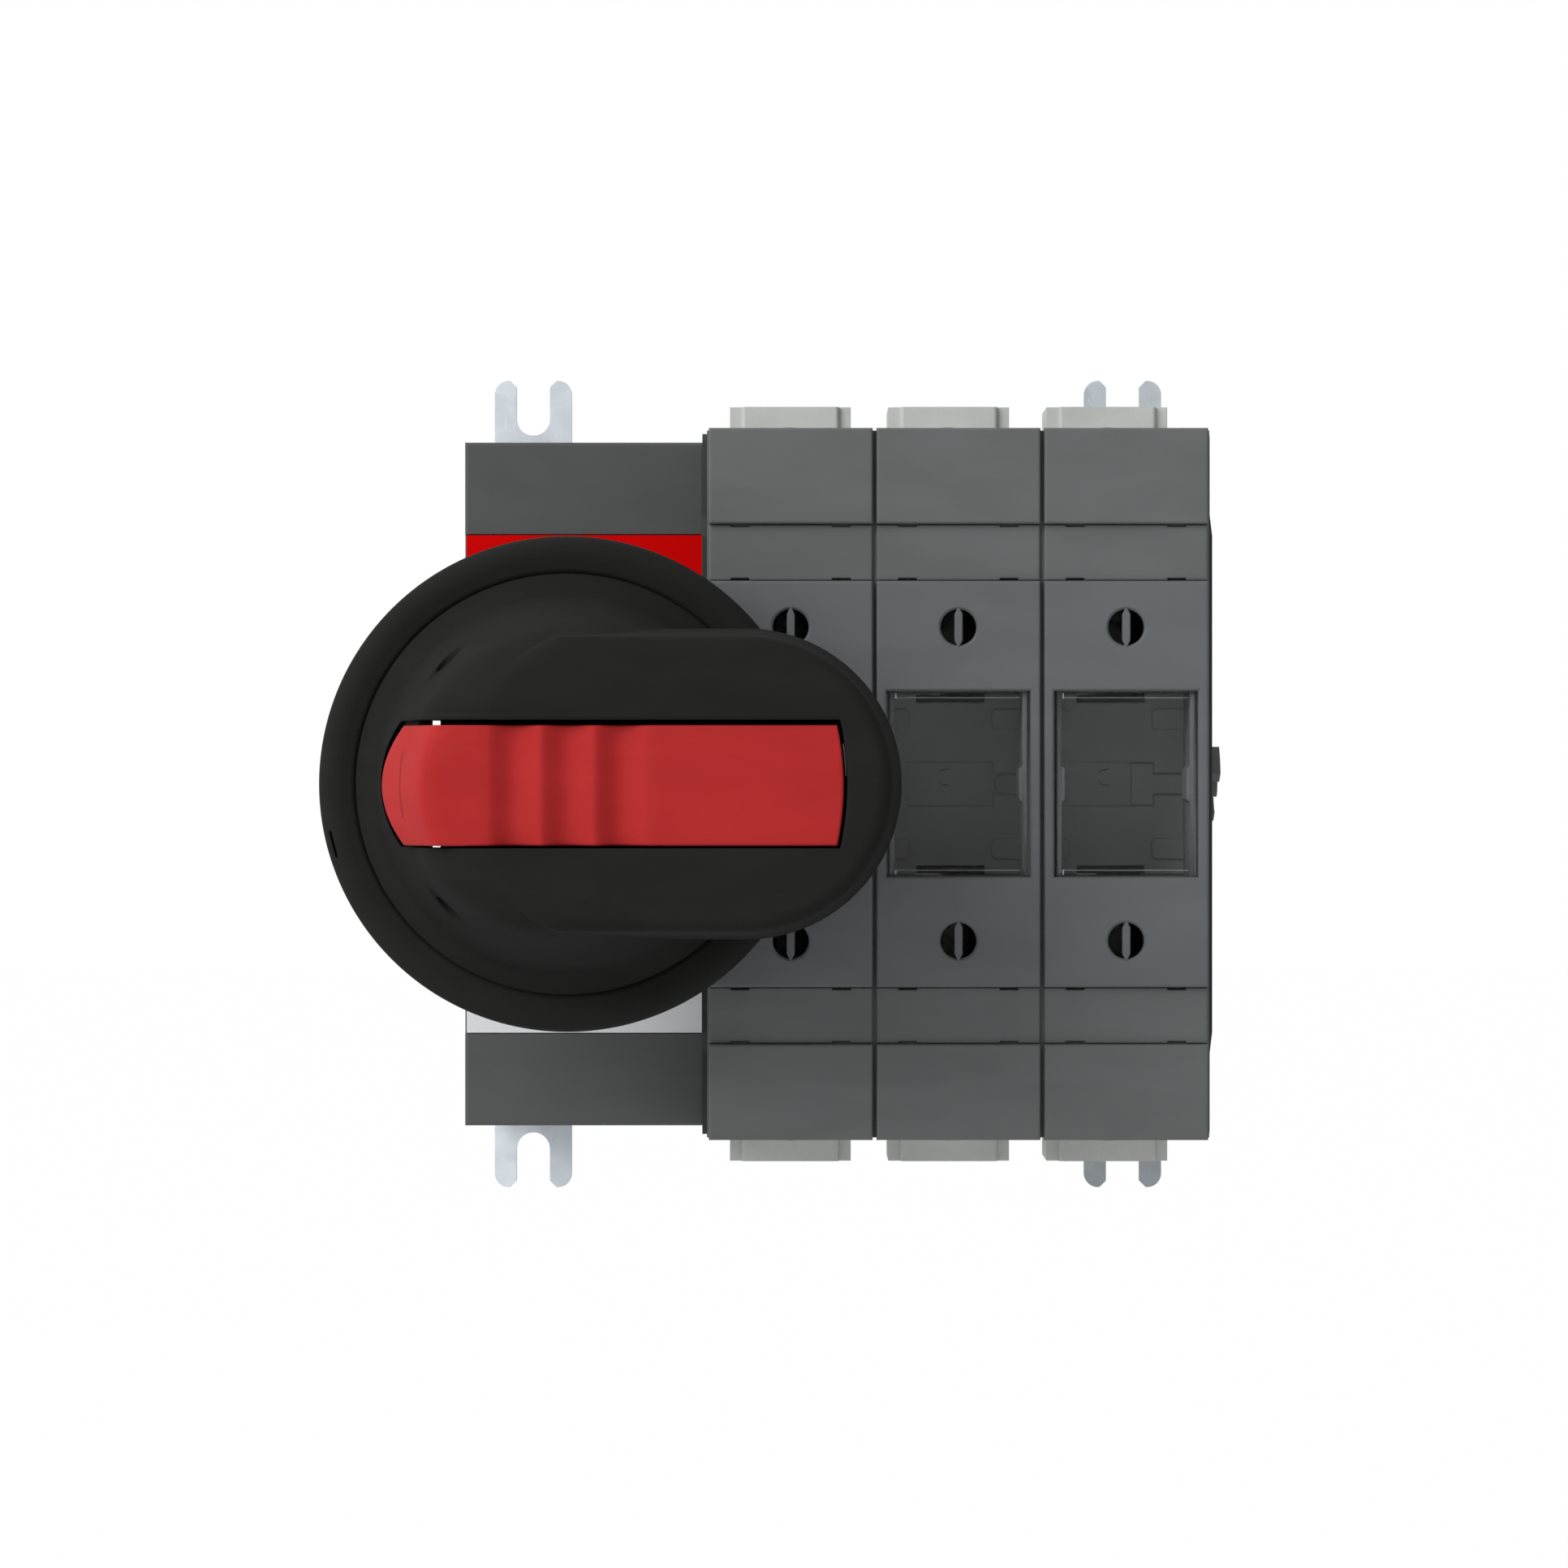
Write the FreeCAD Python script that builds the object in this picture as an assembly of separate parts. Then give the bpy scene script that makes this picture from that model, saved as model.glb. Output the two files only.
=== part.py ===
import FreeCAD
import Part
import math
import os

Vector = FreeCAD.Vector

# A three-pole fuse switch disconnector with its mechanism at the left end and a
# padlockable pistol handle. Sizes are in millimetres. X runs right as seen from the
# front, Y into the mounting panel and Z up. The origin is the middle of the four
# fixing slots, on the panel face, so everything in front of the panel has a negative Y.

# Fixing straps
strap_spacing = 136.8
strap_width = 17.9
strap_length = 187.2
strap_thickness = 1.5
strap_corner = 3.2
strap_fit = 0.1
slot_width = 7.7
slot_depth = 12.7
slot_chamfer = 1.5
strap_screw_z = 50.0
screw_diameter = 3.5
screw_head_diameter = 6.4
screw_length = 9.0

# Pole stack
pole_count = 3
pole_pitch = 35.0
pole_stack_left = -26.3
body_depth = 115.0
cover_span = 148.6
cover_gap = 0.8
cover_edge = 0.5
cover_plate = 2.2
cover_lift_gap = 0.3

# Light base of a pole
base_depth = 56.0
base_length = 140.0
base_wall = 2.0
base_back = 3.5
switch_room_length = 94.0
tongue_reach = 83.3
tongue_width = 26.7
tongue_middle = 21.4
tongue_proud = 1.5
tongue_depth = 20.0
tongue_edge = 0.8

# Dark housing of a pole
housing_wall = 1.5
housing_length = 147.8
fuse_cover_length = 84.8
fuse_room_depth = 48.7
fuse_room_length = 83.0
floor_thickness = 3.0
band_recess = 1.4
band_gap = 0.2
terminal_cover_length = 20.0
latch_slot_width = 3.9
latch_slot_height = 0.4
latch_slot_x = 10.6
latch_slot_depth = 1.0
pad_length = 4.5
pad_inner_x = 9.0
pad_inner_z = 11.9
pad_height = 0.6
pad_corner = 1.2
recess_half_width = 9.4
recess_half_height = 4.8
recess_depth = 0.8
channel_half_height = 2.4
floor_tab_height = 0.5
floor_tab_gap = 0.25
jaw_hole_half_width = 7.45
jaw_hole_inner_z = 17.8

# Fuse cover and its window
skirt_clearance = 0.3
skirt_wall = 1.3
skirt_depth = 13.0
window_width = 29.8
window_height = 38.6
window_fit = 0.1
window_recess = 0.5
window_pane = 1.4
window_flap = 1.0
window_flap_depth = 12.0
window_flap_half_width = 13.0
window_bevel = 0.4
rail_inner_x = 13.4
rail_thickness = 1.0
rail_depth = 12.5
rail_bump = 0.7
rail_bump_half = 3.1
rail_bump_slope = 0.7
test_hole_z = 32.7
test_hole_diameter = 7.5
test_hole_chamfer = 0.45
test_bar_width = 1.64
test_bar_overhang = 0.55
test_bar_point = 1.0

# Terminals
bar_width = 20.0
bar_thickness = 3.0
bar_fit = 0.2
terminal_z = 68.5
terminal_bolt_diameter = 8.0
bolt_fit = 0.3
bolt_head_flats = 13.0
bolt_head_height = 5.3
bolt_reach = 10.5
washer_diameter = 16.0
washer_thickness = 1.6
nut_height = 6.5
nut_fit = 0.2
terminal_wall_depth = 42.0

# Fuse jaws
jaw_z = 33.0
jaw_width = 10.0
jaw_gap = 6.2
jaw_leaf = 1.5
jaw_height = 27.0
jaw_flare = 2.0
jaw_lip = 4.0
jaw_end_room = 1.5
jaw_foot_inner_z = 20.0
jaw_foot_ledge = 0.8
jaw_foot_thickness = 2.0
jaw_tail_overhang = 1.0
jaw_tail_thickness = 2.5
jaw_spring = 0.8
jaw_spring_width = 6.0
jaw_spring_height = 17.5
contact_width = 8.0
contact_split = 2.0
contact_overlap = 5.0

# Switching contacts on the cross shaft
shaft_axis_depth = 30.0
cross_shaft_size = 10.0
square_fit = 0.1
rotor_diameter = 16.0
rotor_end_gap = 0.1
bearing_clearance = 0.3
arm_reach = 25.0
arm_width = 20.0
arm_thickness = 3.5
moving_contact_width = 18.0
moving_contact_thickness = 3.0
moving_contact_tip = 1.5
moving_contact_root = 1.0
contact_air = 0.3

# Mechanism
mechanism_width = 52.1
mechanism_depth = 72.0
mechanism_wall = 2.0
mechanism_cover_depth = 14.0
mechanism_edge = 0.7
panel_half_height = 54.3
panel_thickness = 1.5
panel_margin = 0.4
label_thickness = 0.3
label_bottom_z = 30.0
handle_shaft_x = -54.4
crank_radius = 12.8
crank_ball_depth = 16.0
crank_ball_diameter = 6.0
crank_play = 1.0
crank_pin_neck = 1.0
crank_arm_half = 4.0
crank_half_turn = 45.0
fork_wall = 2.5
fork_half_length = 4.5
fork_hub_length = 7.0
fork_hub_wall = 2.0
fork_prong_x = 5.6
hub_neck_diameter = 14.0
hub_disc_diameter = 22.0
hub_disc_thickness = 8.0
hub_floor = 1.5
hub_support_radius = 4.0
shaft_end_gap = 0.5
boss_wall = 3.0
boss_length = 6.0
snap_spring_diameter = 10.0
snap_spring_wire = 1.4
snap_spring_length = 26.0
snap_spring_turns = 6
snap_stud_gap = 4.0
spring_steps = 10
snap_spring_x = 14.0
snap_spring_depth = 46.0

# End plates and tie rods
plate_thickness = 1.2
plate_length = 148.4
plate_front_middle = 106.0
plate_front_end = 100.0
plate_back = 2.0
plate_step_inner = 52.2
plate_step_outer = 57.0
plate_corner = 1.5
rod_diameter = 5.0
rod_fit = 0.1
rod_places = ((14.0, 57.0), (38.0, 55.0))
rod_nut_flats = 8.0
rod_nut_height = 3.5
coupler_diameter = 22.0
coupler_disc = 3.2
coupler_claw = 4.4
coupler_claw_width = 7.0
coupler_claw_wall = 3.4
coupler_stub = 5.8

# Handle, its heights measured from the back of the collar
handle_shaft_size = 6.0
handle_back_depth = 137.0
handle_height = 48.0
collar_outer_radius = 50.5
collar_inner_radius = 43.9
collar_crown = 5.6
collar_outer_round = 3.4
collar_inner_round = 1.2
collar_notch_angle = 194.5
collar_notch_inset = 1.1
collar_notch_length = 4.6
collar_notch_width = 1.8
collar_notch_depth = 3.4
disc_clearance = 0.4
disc_rim = 4.3
disc_rim_round = 0.8
disc_shoulder = 0.9
disc_wall = 2.6
dome_foot_radius = 38.8
dome_foot_height = 8.4
dome_foot_round = 6.0
dome_top_radius = 27.5
dome_top_round = 13.0
grip_base_height = 13.0
grip_end_x = 36.6
grip_base_half = 31.3
grip_top_half = 28.6
grip_back_x = 20.0
grip_edge = 3.0
grip_wall = 3.0
slot_web = 3.9
socket_radius = 9.0
socket_floor = 2.0

# Padlock slide in the handle
lock_slot_right = 56.5
lock_slot_half = 12.5
lock_slot_drop = 13.6
lock_slot_sag = 1.4
lock_half = 11.75
lock_sink = 0.3
lock_top_gap = 0.4
lock_floor_gap = 0.4
lock_end_gap = 0.4
lock_tip_x = 35.5
lock_tip_sag = 4.8
lock_cone_radius = 26.3
lock_cone_slope = 2.13
lock_cap_drop = 20.5
lock_cap_gap = 0.5
lock_line_radius = 31.1
lock_line_half = 6.8
lock_line_width = 0.3
lock_line_depth = 0.4
cap_recess_depth = 1.2
cap_recess_gap = 1.1
hook_half = 5.0
hook_gap = 0.4
hook_left = 31.0
hook_right = 18.0
hook_drop = 25.6
scoop_start_x = -13.4
scoop_pitch = 10.25
scoop_count = 3
scoop_depth = 1.5
padlock_hole_x = 22.2
padlock_hole_diameter = 5.0
padlock_hole_drop = 20.6
guide_slot_x = 24.3
guide_slot_width = 1.8
guide_slot_half = 10.8
lock_spring_thickness = 0.7
lock_spring_length = 6.3
lock_spring_bottom_z = 1.6
lock_spring_recess = 2.0

# Seal and retainer behind the handle
seal_inner_radius = 47.2
seal_outer_radius = 50.2
seal_thickness = 1.5
retainer_inner_radius = 40.6
retainer_outer_radius = 46.2
retainer_thickness = 1.2
retainer_gap = 0.3

# Interlock slide in the last pole's floor
interlock_block = 4.8
interlock_height = 1.2
interlock_gap = 0.1
interlock_tab_gap = 0.3

# Places closer than this count as the same when edges are picked
same_place = 0.01

# Levels and places that follow from the sizes above
cover_front = -body_depth
cover_back = cover_front + cover_plate
housing_rim = cover_back + cover_lift_gap
base_front = -base_depth
fuse_floor = cover_front + fuse_room_depth
floor_back = fuse_floor + floor_thickness
shaft_y = -shaft_axis_depth
half_pitch = pole_pitch / 2
cover_half_width = (pole_pitch - cover_gap) / 2
room_half_width = half_pitch - housing_wall
cover_half_span = cover_span / 2
fuse_half = fuse_cover_length / 2
fuse_room_half = fuse_room_length / 2
terminal_edge_z = cover_half_span - terminal_cover_length
switch_room_half = switch_room_length / 2
pole_stack_right = pole_stack_left + pole_count * pole_pitch
mechanism_right = pole_stack_left - plate_thickness
mechanism_left = mechanism_right - mechanism_width
mechanism_front = -mechanism_depth
mechanism_split = mechanism_front + mechanism_cover_depth
fork_angle = math.degrees(math.atan(
    crank_radius * math.sin(math.radians(crank_half_turn)) / crank_ball_depth))
rotor_turn = 2 * fork_angle
ball_y = shaft_y - crank_ball_depth
bar_back = base_front + bar_thickness
strap_x = strap_spacing / 2
jaw_foot_y = floor_back
jaw_foot_back = jaw_foot_y + jaw_foot_thickness
rotor_bore = rotor_diameter / 2 + bearing_clearance
disc_radius = collar_inner_radius - disc_clearance
slot_floor_height = handle_height - lock_slot_drop
hollow_height = slot_floor_height - slot_web
lock_top_height = handle_height - lock_top_gap


def box(x0, x1, y0, y1, z0, z1):
    # A block between two corners
    low = Vector(min(x0, x1), min(y0, y1), min(z0, z1))
    return Part.makeBox(abs(x1 - x0), abs(y1 - y0), abs(z1 - z0), low)


def rod_x(radius, x0, x1, y, z):
    # A round bar along X
    return Part.makeCylinder(radius, x1 - x0, Vector(x0, y, z), Vector(1, 0, 0))


def rod_y(radius, x, y0, y1, z):
    # A round bar along Y
    return Part.makeCylinder(radius, y1 - y0, Vector(x, y0, z), Vector(0, 1, 0))


def rod_z(radius, x, y, z0, z1):
    # A round bar along Z
    return Part.makeCylinder(radius, z1 - z0, Vector(x, y, z0), Vector(0, 0, 1))


def prism_x(points, x0, x1):
    # A (y, z) outline pushed along X
    corners = [Vector(x0, y, z) for y, z in points]
    face = Part.Face(Part.makePolygon(corners + corners[:1]))
    return face.extrude(Vector(x1 - x0, 0, 0))


def prism_y(points, y0, y1):
    # An (x, z) outline pushed along Y
    corners = [Vector(x, y0, z) for x, z in points]
    face = Part.Face(Part.makePolygon(corners + corners[:1]))
    return face.extrude(Vector(0, y1 - y0, 0))


def hexagon_y(flats, x, y0, y1, z):
    # A hexagonal bar along Y
    radius = flats / math.sqrt(3)
    turns = [math.radians(60 * i) for i in range(6)]
    return prism_y([(x + radius * math.cos(t), z + radius * math.sin(t)) for t in turns], y0, y1)


def hexagon_x(flats, x0, x1, y, z):
    # A hexagonal bar along X
    radius = flats / math.sqrt(3)
    turns = [math.radians(60 * i) for i in range(6)]
    return prism_x([(y + radius * math.cos(t), z + radius * math.sin(t)) for t in turns], x0, x1)


def revolve_y(points, x):
    # An (r, y) outline turned about the line along Y through x
    corners = [Vector(r, y, 0) for r, y in points]
    face = Part.Face(Part.makePolygon(corners + corners[:1]))
    solid = face.revolve(Vector(0, 0, 0), Vector(0, 1, 0), 360)
    return moved(solid, x)


def moved(shape, x=0, y=0, z=0):
    # A copy shifted by the given distances
    copy = shape.copy()
    copy.translate(Vector(x, y, z))
    return copy


def upside_down(shape):
    # The mirror image below the middle plane
    return shape.mirror(Vector(0, 0, 0), Vector(0, 0, 1))


def turned_x(shape, degrees, y, z):
    # A copy turned about a line along X
    copy = shape.copy()
    copy.rotate(Vector(0, y, z), Vector(1, 0, 0), degrees)
    return copy


def round_edges(shape, radius, wanted):
    # Rounds the edges that the test picks
    edges = [edge for edge in shape.Edges if wanted(edge.BoundBox)]
    return shape.makeFillet(radius, edges)


def near(a, b):
    return abs(a - b) < same_place


def front_edges(level):
    # A test for edges that lie in the plane of a front face
    def wanted(bounds):
        return near(bounds.YMin, level) and near(bounds.YMax, level)
    return wanted


# Fixing straps

def mounting_strap(x):
    # A zinc-plated steel strip with an open slot at each end
    half = strap_width / 2
    end = strap_length / 2
    plate = box(x - half, x + half, -strap_thickness, 0, -end, end)
    plate = round_edges(plate, strap_corner, lambda b: b.YLength > 1 and b.XLength < 1)
    slot_end = end - slot_depth + slot_width / 2
    slot = box(x - slot_width / 2, x + slot_width / 2, -strap_thickness, 0, slot_end, end)
    slot = slot.fuse(rod_y(slot_width / 2, x, -strap_thickness, 0, slot_end))
    mouth_half = slot_width / 2 + slot_chamfer
    mouth = prism_y([(x - slot_width / 2, end - slot_chamfer), (x + slot_width / 2, end - slot_chamfer),
                     (x + mouth_half, end), (x - mouth_half, end)], -strap_thickness, 0)
    cut = slot.fuse(mouth)
    holes = [countersunk_screw(x, z, strap_fit) for z in (strap_screw_z, -strap_screw_z)]
    return plate.cut([cut, upside_down(cut)] + holes).removeSplitter()


def countersunk_screw(x, z, clearance=0):
    # A screw entered from behind, its head level with the panel face
    head_radius = screw_head_diameter / 2 + clearance
    shank_radius = screw_diameter / 2 + clearance
    taper = head_radius - shank_radius
    outline = [(0, 0), (head_radius, 0), (shank_radius, -taper),
               (shank_radius, -screw_length), (0, -screw_length)]
    return moved(revolve_y(outline, x), z=z)


def strap_screws():
    places = [(x, z) for x in (-strap_x, strap_x) for z in (-strap_screw_z, strap_screw_z)]
    return Part.makeCompound([countersunk_screw(x, z) for x, z in places])


def strap_channel(x):
    # The room that a strap and its screws take in the moulding in front of it
    half = strap_width / 2 + strap_fit
    end = strap_length / 2
    channel = box(x - half, x + half, -strap_thickness, 0, -end, end)
    for z in (-strap_screw_z, strap_screw_z):
        channel = channel.fuse(rod_y(screw_diameter / 2, x, -screw_length - strap_fit, 0, z))
    return channel


# Light bases with the terminals

def terminal_tongue():
    # The support behind the top terminal, wider at the back than at its proud middle
    wing = box(-tongue_width / 2, tongue_width / 2, base_front + tongue_proud,
               base_front + tongue_depth, base_length / 2 - base_wall, tongue_reach)
    middle = box(-tongue_middle / 2, tongue_middle / 2, base_front,
                 base_front + tongue_depth, base_length / 2 - base_wall, tongue_reach)
    middle = round_edges(middle, tongue_edge, lambda b: near(b.YMax, base_front) and b.ZLength > 1)
    return wing.fuse(middle)


def bar_seat():
    # The recess of the top terminal bar, with a round end about the bolt
    half = bar_width / 2 + bar_fit
    seat = box(-half, half, base_front, bar_back, switch_room_half, terminal_z)
    seat = seat.fuse(rod_y(half, 0, base_front, bar_back, terminal_z))
    pocket = hexagon_y(bolt_head_flats + nut_fit, 0, bar_back, bar_back + nut_height, terminal_z)
    bolt_room = rod_y(terminal_bolt_diameter / 2 + bolt_fit, 0, bar_back,
                      base_front + bolt_reach + bolt_fit, terminal_z)
    return seat.fuse([pocket, bolt_room])


def pole_base(pole):
    # A moulded trough that holds the switching contacts, closed by the dark housing
    half = base_length / 2
    room_half = half_pitch - base_wall
    body = box(-half_pitch, half_pitch, base_front, 0, -half, half)
    body = body.fuse([terminal_tongue(), upside_down(terminal_tongue())])
    room = box(-room_half, room_half, base_front, -base_back, -switch_room_half, switch_room_half)
    bearing = rod_x(rotor_bore, -half_pitch, half_pitch, shaft_y, 0)
    cuts = [room, bearing, bar_seat(), upside_down(bar_seat())] + rod_holes(-half_pitch, half_pitch)
    for side in (-1, 1):
        cuts += [side_relief(side), upside_down(side_relief(side))]
    body = body.cut(cuts)
    body = moved(body, pole_x(pole))
    if abs(pole_x(pole) - strap_x) < half_pitch:
        body = body.cut(strap_channel(strap_x))
    return body.removeSplitter()


def side_relief(side):
    # A pocket from behind that lightens the thick end of the base, as the moulding has
    return box(side * (half_pitch - base_wall), side * (bar_width / 2 + base_wall),
               base_front + bar_thickness, 0, switch_room_half + base_wall, base_length / 2 - base_wall)


def pole_x(pole):
    return pole_stack_left + (pole + 0.5) * pole_pitch


def rod_holes(x0, x1, clearance=rod_fit):
    radius = rod_diameter / 2 + clearance
    return [rod_x(radius, x0, x1, -depth, sign * z) for depth, z in rod_places for sign in (1, -1)]


# Dark housings with the fuse rooms

def band_plate():
    # The raised band between the fuse cover and the top terminal cover
    low = fuse_half + band_gap
    high = terminal_edge_z - band_gap
    front = cover_front + band_recess
    band = box(-cover_half_width, cover_half_width, front, housing_rim, low, high)
    band = round_edges(band, cover_edge, lambda b: near(b.YMax, front) and b.ZLength > 1)
    slots = []
    for side in (-1, 1):
        x0 = side * latch_slot_x - latch_slot_width / 2
        x1 = x0 + latch_slot_width
        slots.append(box(x0, x1, front, housing_rim, low, low + latch_slot_height))
        slots.append(box(x0, x1, front, housing_rim, high - latch_slot_height, high))
    return band.cut(slots)


def floor_pads():
    # Four raised pads that the fuse body rests on, each running out to a side wall
    pads = []
    for side in (-1, 1):
        for level in (-1, 1):
            pad = box(side * pad_inner_x, side * room_half_width,
                      fuse_floor - pad_height, fuse_floor,
                      level * pad_inner_z, level * (pad_inner_z + pad_length))
            pads.append(round_edges(pad, pad_corner, lambda b: b.YLength > pad_height / 2
                                    and near(abs(b.XMin), pad_inner_x)))
    return pads


def floor_recess():
    # A shallow field in the middle of the floor with a channel to each side wall
    field = box(-recess_half_width, recess_half_width, fuse_floor, fuse_floor + recess_depth,
                -recess_half_height, recess_half_height)
    channel = box(-room_half_width, room_half_width, fuse_floor, fuse_floor + recess_depth,
                  -channel_half_height, channel_half_height)
    return field.fuse(channel)


def floor_tab(side):
    # A round-nosed tab that nearly fills one channel
    half = channel_half_height - floor_tab_gap
    floor = fuse_floor + recess_depth
    centre = recess_half_width + floor_tab_gap + half
    bar = box(side * centre, side * room_half_width, floor - floor_tab_height, floor, -half, half)
    return bar.fuse(rod_y(half, side * centre, floor - floor_tab_height, floor, 0))


def pole_housing(pole):
    # A moulded shell with the fuse room in the middle and a terminal room at each end
    half = housing_length / 2
    shell = box(-half_pitch, half_pitch, housing_rim, base_front, -half, half)
    fuse_room = box(-room_half_width, room_half_width, housing_rim, fuse_floor,
                    -fuse_room_half, fuse_room_half)
    under_floor = box(-room_half_width, room_half_width, floor_back, base_front,
                      -switch_room_half, switch_room_half)
    band_low = fuse_room_half + housing_wall
    band_high = terminal_edge_z + housing_wall
    band_room = box(-room_half_width, room_half_width, housing_rim + housing_wall, base_front,
                    band_low, band_high)
    terminal_room = box(-room_half_width, room_half_width, housing_rim, base_front,
                        band_high + housing_wall, half)
    jaw_hole = box(-jaw_hole_half_width, jaw_hole_half_width, fuse_floor, floor_back,
                   jaw_hole_inner_z, jaw_z + jaw_width / 2 + jaw_end_room)
    ends = [band_room, terminal_room, jaw_hole]
    shell = shell.cut([fuse_room, under_floor] + ends + [upside_down(end) for end in ends])
    shell = shell.fuse([band_plate(), upside_down(band_plate())] + floor_pads())
    slot_rooms = []
    for side in (-1, 1):
        x0 = side * latch_slot_x - latch_slot_width / 2
        low = fuse_half + band_gap
        slot_rooms.append(box(x0, x0 + latch_slot_width, housing_rim, housing_rim + latch_slot_depth,
                              low, low + latch_slot_height))
    shell = shell.cut([floor_recess()] + slot_rooms + [upside_down(room) for room in slot_rooms])
    tab_sides = (-1,) if pole == pole_count - 1 else (-1, 1)
    shell = shell.fuse([floor_tab(side) for side in tab_sides])
    return moved(shell.removeSplitter(), pole_x(pole))


# Fuse covers

def test_hole(z):
    # A round test hole with a broken rim; an upright bar stays across it
    radius = test_hole_diameter / 2
    rim = radius + test_hole_chamfer
    outline = [(0, cover_front), (rim, cover_front), (radius, cover_front + test_hole_chamfer),
               (radius, cover_back), (0, cover_back)]
    hole = moved(revolve_y(outline, 0), z=z)
    bar_half = test_bar_width / 2
    tip = radius + test_bar_overhang
    shoulder = radius - test_bar_point
    bar = prism_y([(-bar_half, z - shoulder), (0, z - tip), (bar_half, z - shoulder),
                   (bar_half, z + shoulder), (0, z + tip), (-bar_half, z + shoulder)],
                  cover_front, cover_back)
    return hole.cut(bar)


def cover_rail(side):
    # An upright rail beside the window that grips the fuse body, with a nib halfway
    top = window_height / 2
    inner = rail_inner_x
    outer = rail_inner_x + rail_thickness
    nib = rail_inner_x - rail_bump
    nib_end = rail_bump_half + rail_bump_slope
    outline = [(inner, -top), (outer, -top), (outer, top), (inner, top), (inner, nib_end),
               (nib, rail_bump_half), (nib, -rail_bump_half), (inner, -nib_end)]
    start = cover_front + window_recess + window_pane
    return prism_y([(side * x, z) for x, z in outline], start, start + rail_depth)


def fuse_cover(pole):
    # A lift-off cap with a window opening, test holes, rails and a skirt that enters the housing
    plate = box(-cover_half_width, cover_half_width, cover_front, cover_back, -fuse_half, fuse_half)
    plate = round_edges(plate, cover_edge, front_edges(cover_front))
    skirt_half_width = room_half_width - skirt_clearance
    skirt_half_length = fuse_room_half - skirt_clearance
    skirt_end = cover_back + skirt_depth
    skirt = box(-skirt_half_width, skirt_half_width, cover_back, skirt_end,
                -skirt_half_length, skirt_half_length)
    inside = box(-skirt_half_width + skirt_wall, skirt_half_width - skirt_wall, cover_back,
                 skirt_end, -skirt_half_length + skirt_wall, skirt_half_length - skirt_wall)
    half_width = window_width / 2 + window_fit
    half_height = window_height / 2 + window_fit
    side_gap = box(-skirt_half_width, skirt_half_width, cover_back, skirt_end, -half_height, half_height)
    cross_walls = [box(-skirt_half_width, skirt_half_width, cover_back, skirt_end,
                       side * half_height, side * (half_height + skirt_wall)) for side in (-1, 1)]
    opening = box(-half_width, half_width, cover_front, cover_back, -half_height, half_height)
    cover = plate.fuse([skirt.cut([inside, side_gap])] + cross_walls)
    cover = cover.cut([opening, test_hole(test_hole_z), test_hole(-test_hole_z)])
    cover = cover.makeChamfer(window_bevel, [edge for edge in cover.Edges if in_window_rim(edge.BoundBox)])
    cover = cover.fuse([cover_rail(side) for side in (-1, 1)]
                       + [rail_foot(side, level) for side in (-1, 1) for level in (-1, 1)])
    return moved(cover.removeSplitter(), pole_x(pole))


def in_window_rim(bounds):
    # True for the front edges of the window opening
    half_width = window_width / 2 + window_fit
    half_height = window_height / 2 + window_fit
    flat = near(bounds.YMin, cover_front) and near(bounds.YMax, cover_front)
    inside = bounds.XMin > -half_width - same_place and bounds.XMax < half_width + same_place
    upright = bounds.ZMin > -half_height - same_place and bounds.ZMax < half_height + same_place
    return flat and inside and upright


def rail_foot(side, level):
    # The short web that joins the end of a rail to the cross wall
    start = cover_front + window_recess + window_pane
    return box(side * rail_inner_x, side * (rail_inner_x + rail_thickness), max(start, cover_back),
               start + rail_depth, level * (window_height / 2 - rail_thickness),
               level * (window_height / 2 + window_fit + skirt_wall))


def fuse_window(pole):
    # A clear pane with a flap behind its top and bottom edges, between the rails
    half_width = window_width / 2
    half_height = window_height / 2
    front = cover_front + window_recess
    back = front + window_pane
    pane = box(-half_width, half_width, front, back, -half_height, half_height)
    flaps = [box(-window_flap_half_width, window_flap_half_width, back, front + window_flap_depth,
                 level * (half_height - window_flap), level * half_height) for level in (-1, 1)]
    return moved(pane.fuse(flaps).removeSplitter(), pole_x(pole))


# Terminal covers, bars and jaws

def terminal_cover(pole, top):
    # A clip-on shroud with an end wall that stops short of the bar to let the cable in
    inner = terminal_edge_z
    outer = cover_half_span
    plate = box(-cover_half_width, cover_half_width, cover_front, cover_back, inner, outer)
    plate = round_edges(plate, cover_edge, front_edges(cover_front))
    half = room_half_width - skirt_clearance
    low = terminal_edge_z + 2 * housing_wall + skirt_clearance
    wall_end = cover_back + terminal_wall_depth
    end_wall = box(-half, half, cover_back, wall_end, outer - housing_wall, outer)
    skirt_end = cover_back + skirt_depth
    sides = [box(side * (half - skirt_wall), side * half, cover_back, skirt_end, low, outer)
             for side in (-1, 1)]
    back_wall = box(-half, half, cover_back, skirt_end, low, low + skirt_wall)
    cover = plate.fuse([end_wall, back_wall] + sides).removeSplitter()
    if not top:
        cover = upside_down(cover)
    return moved(cover, pole_x(pole))


def contact_level(top):
    # The bar face that the moving contact meets, behind it at the top and before it below
    offset = moving_contact_thickness / 2 + contact_air
    return shaft_y + offset if top else shaft_y - offset


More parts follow.
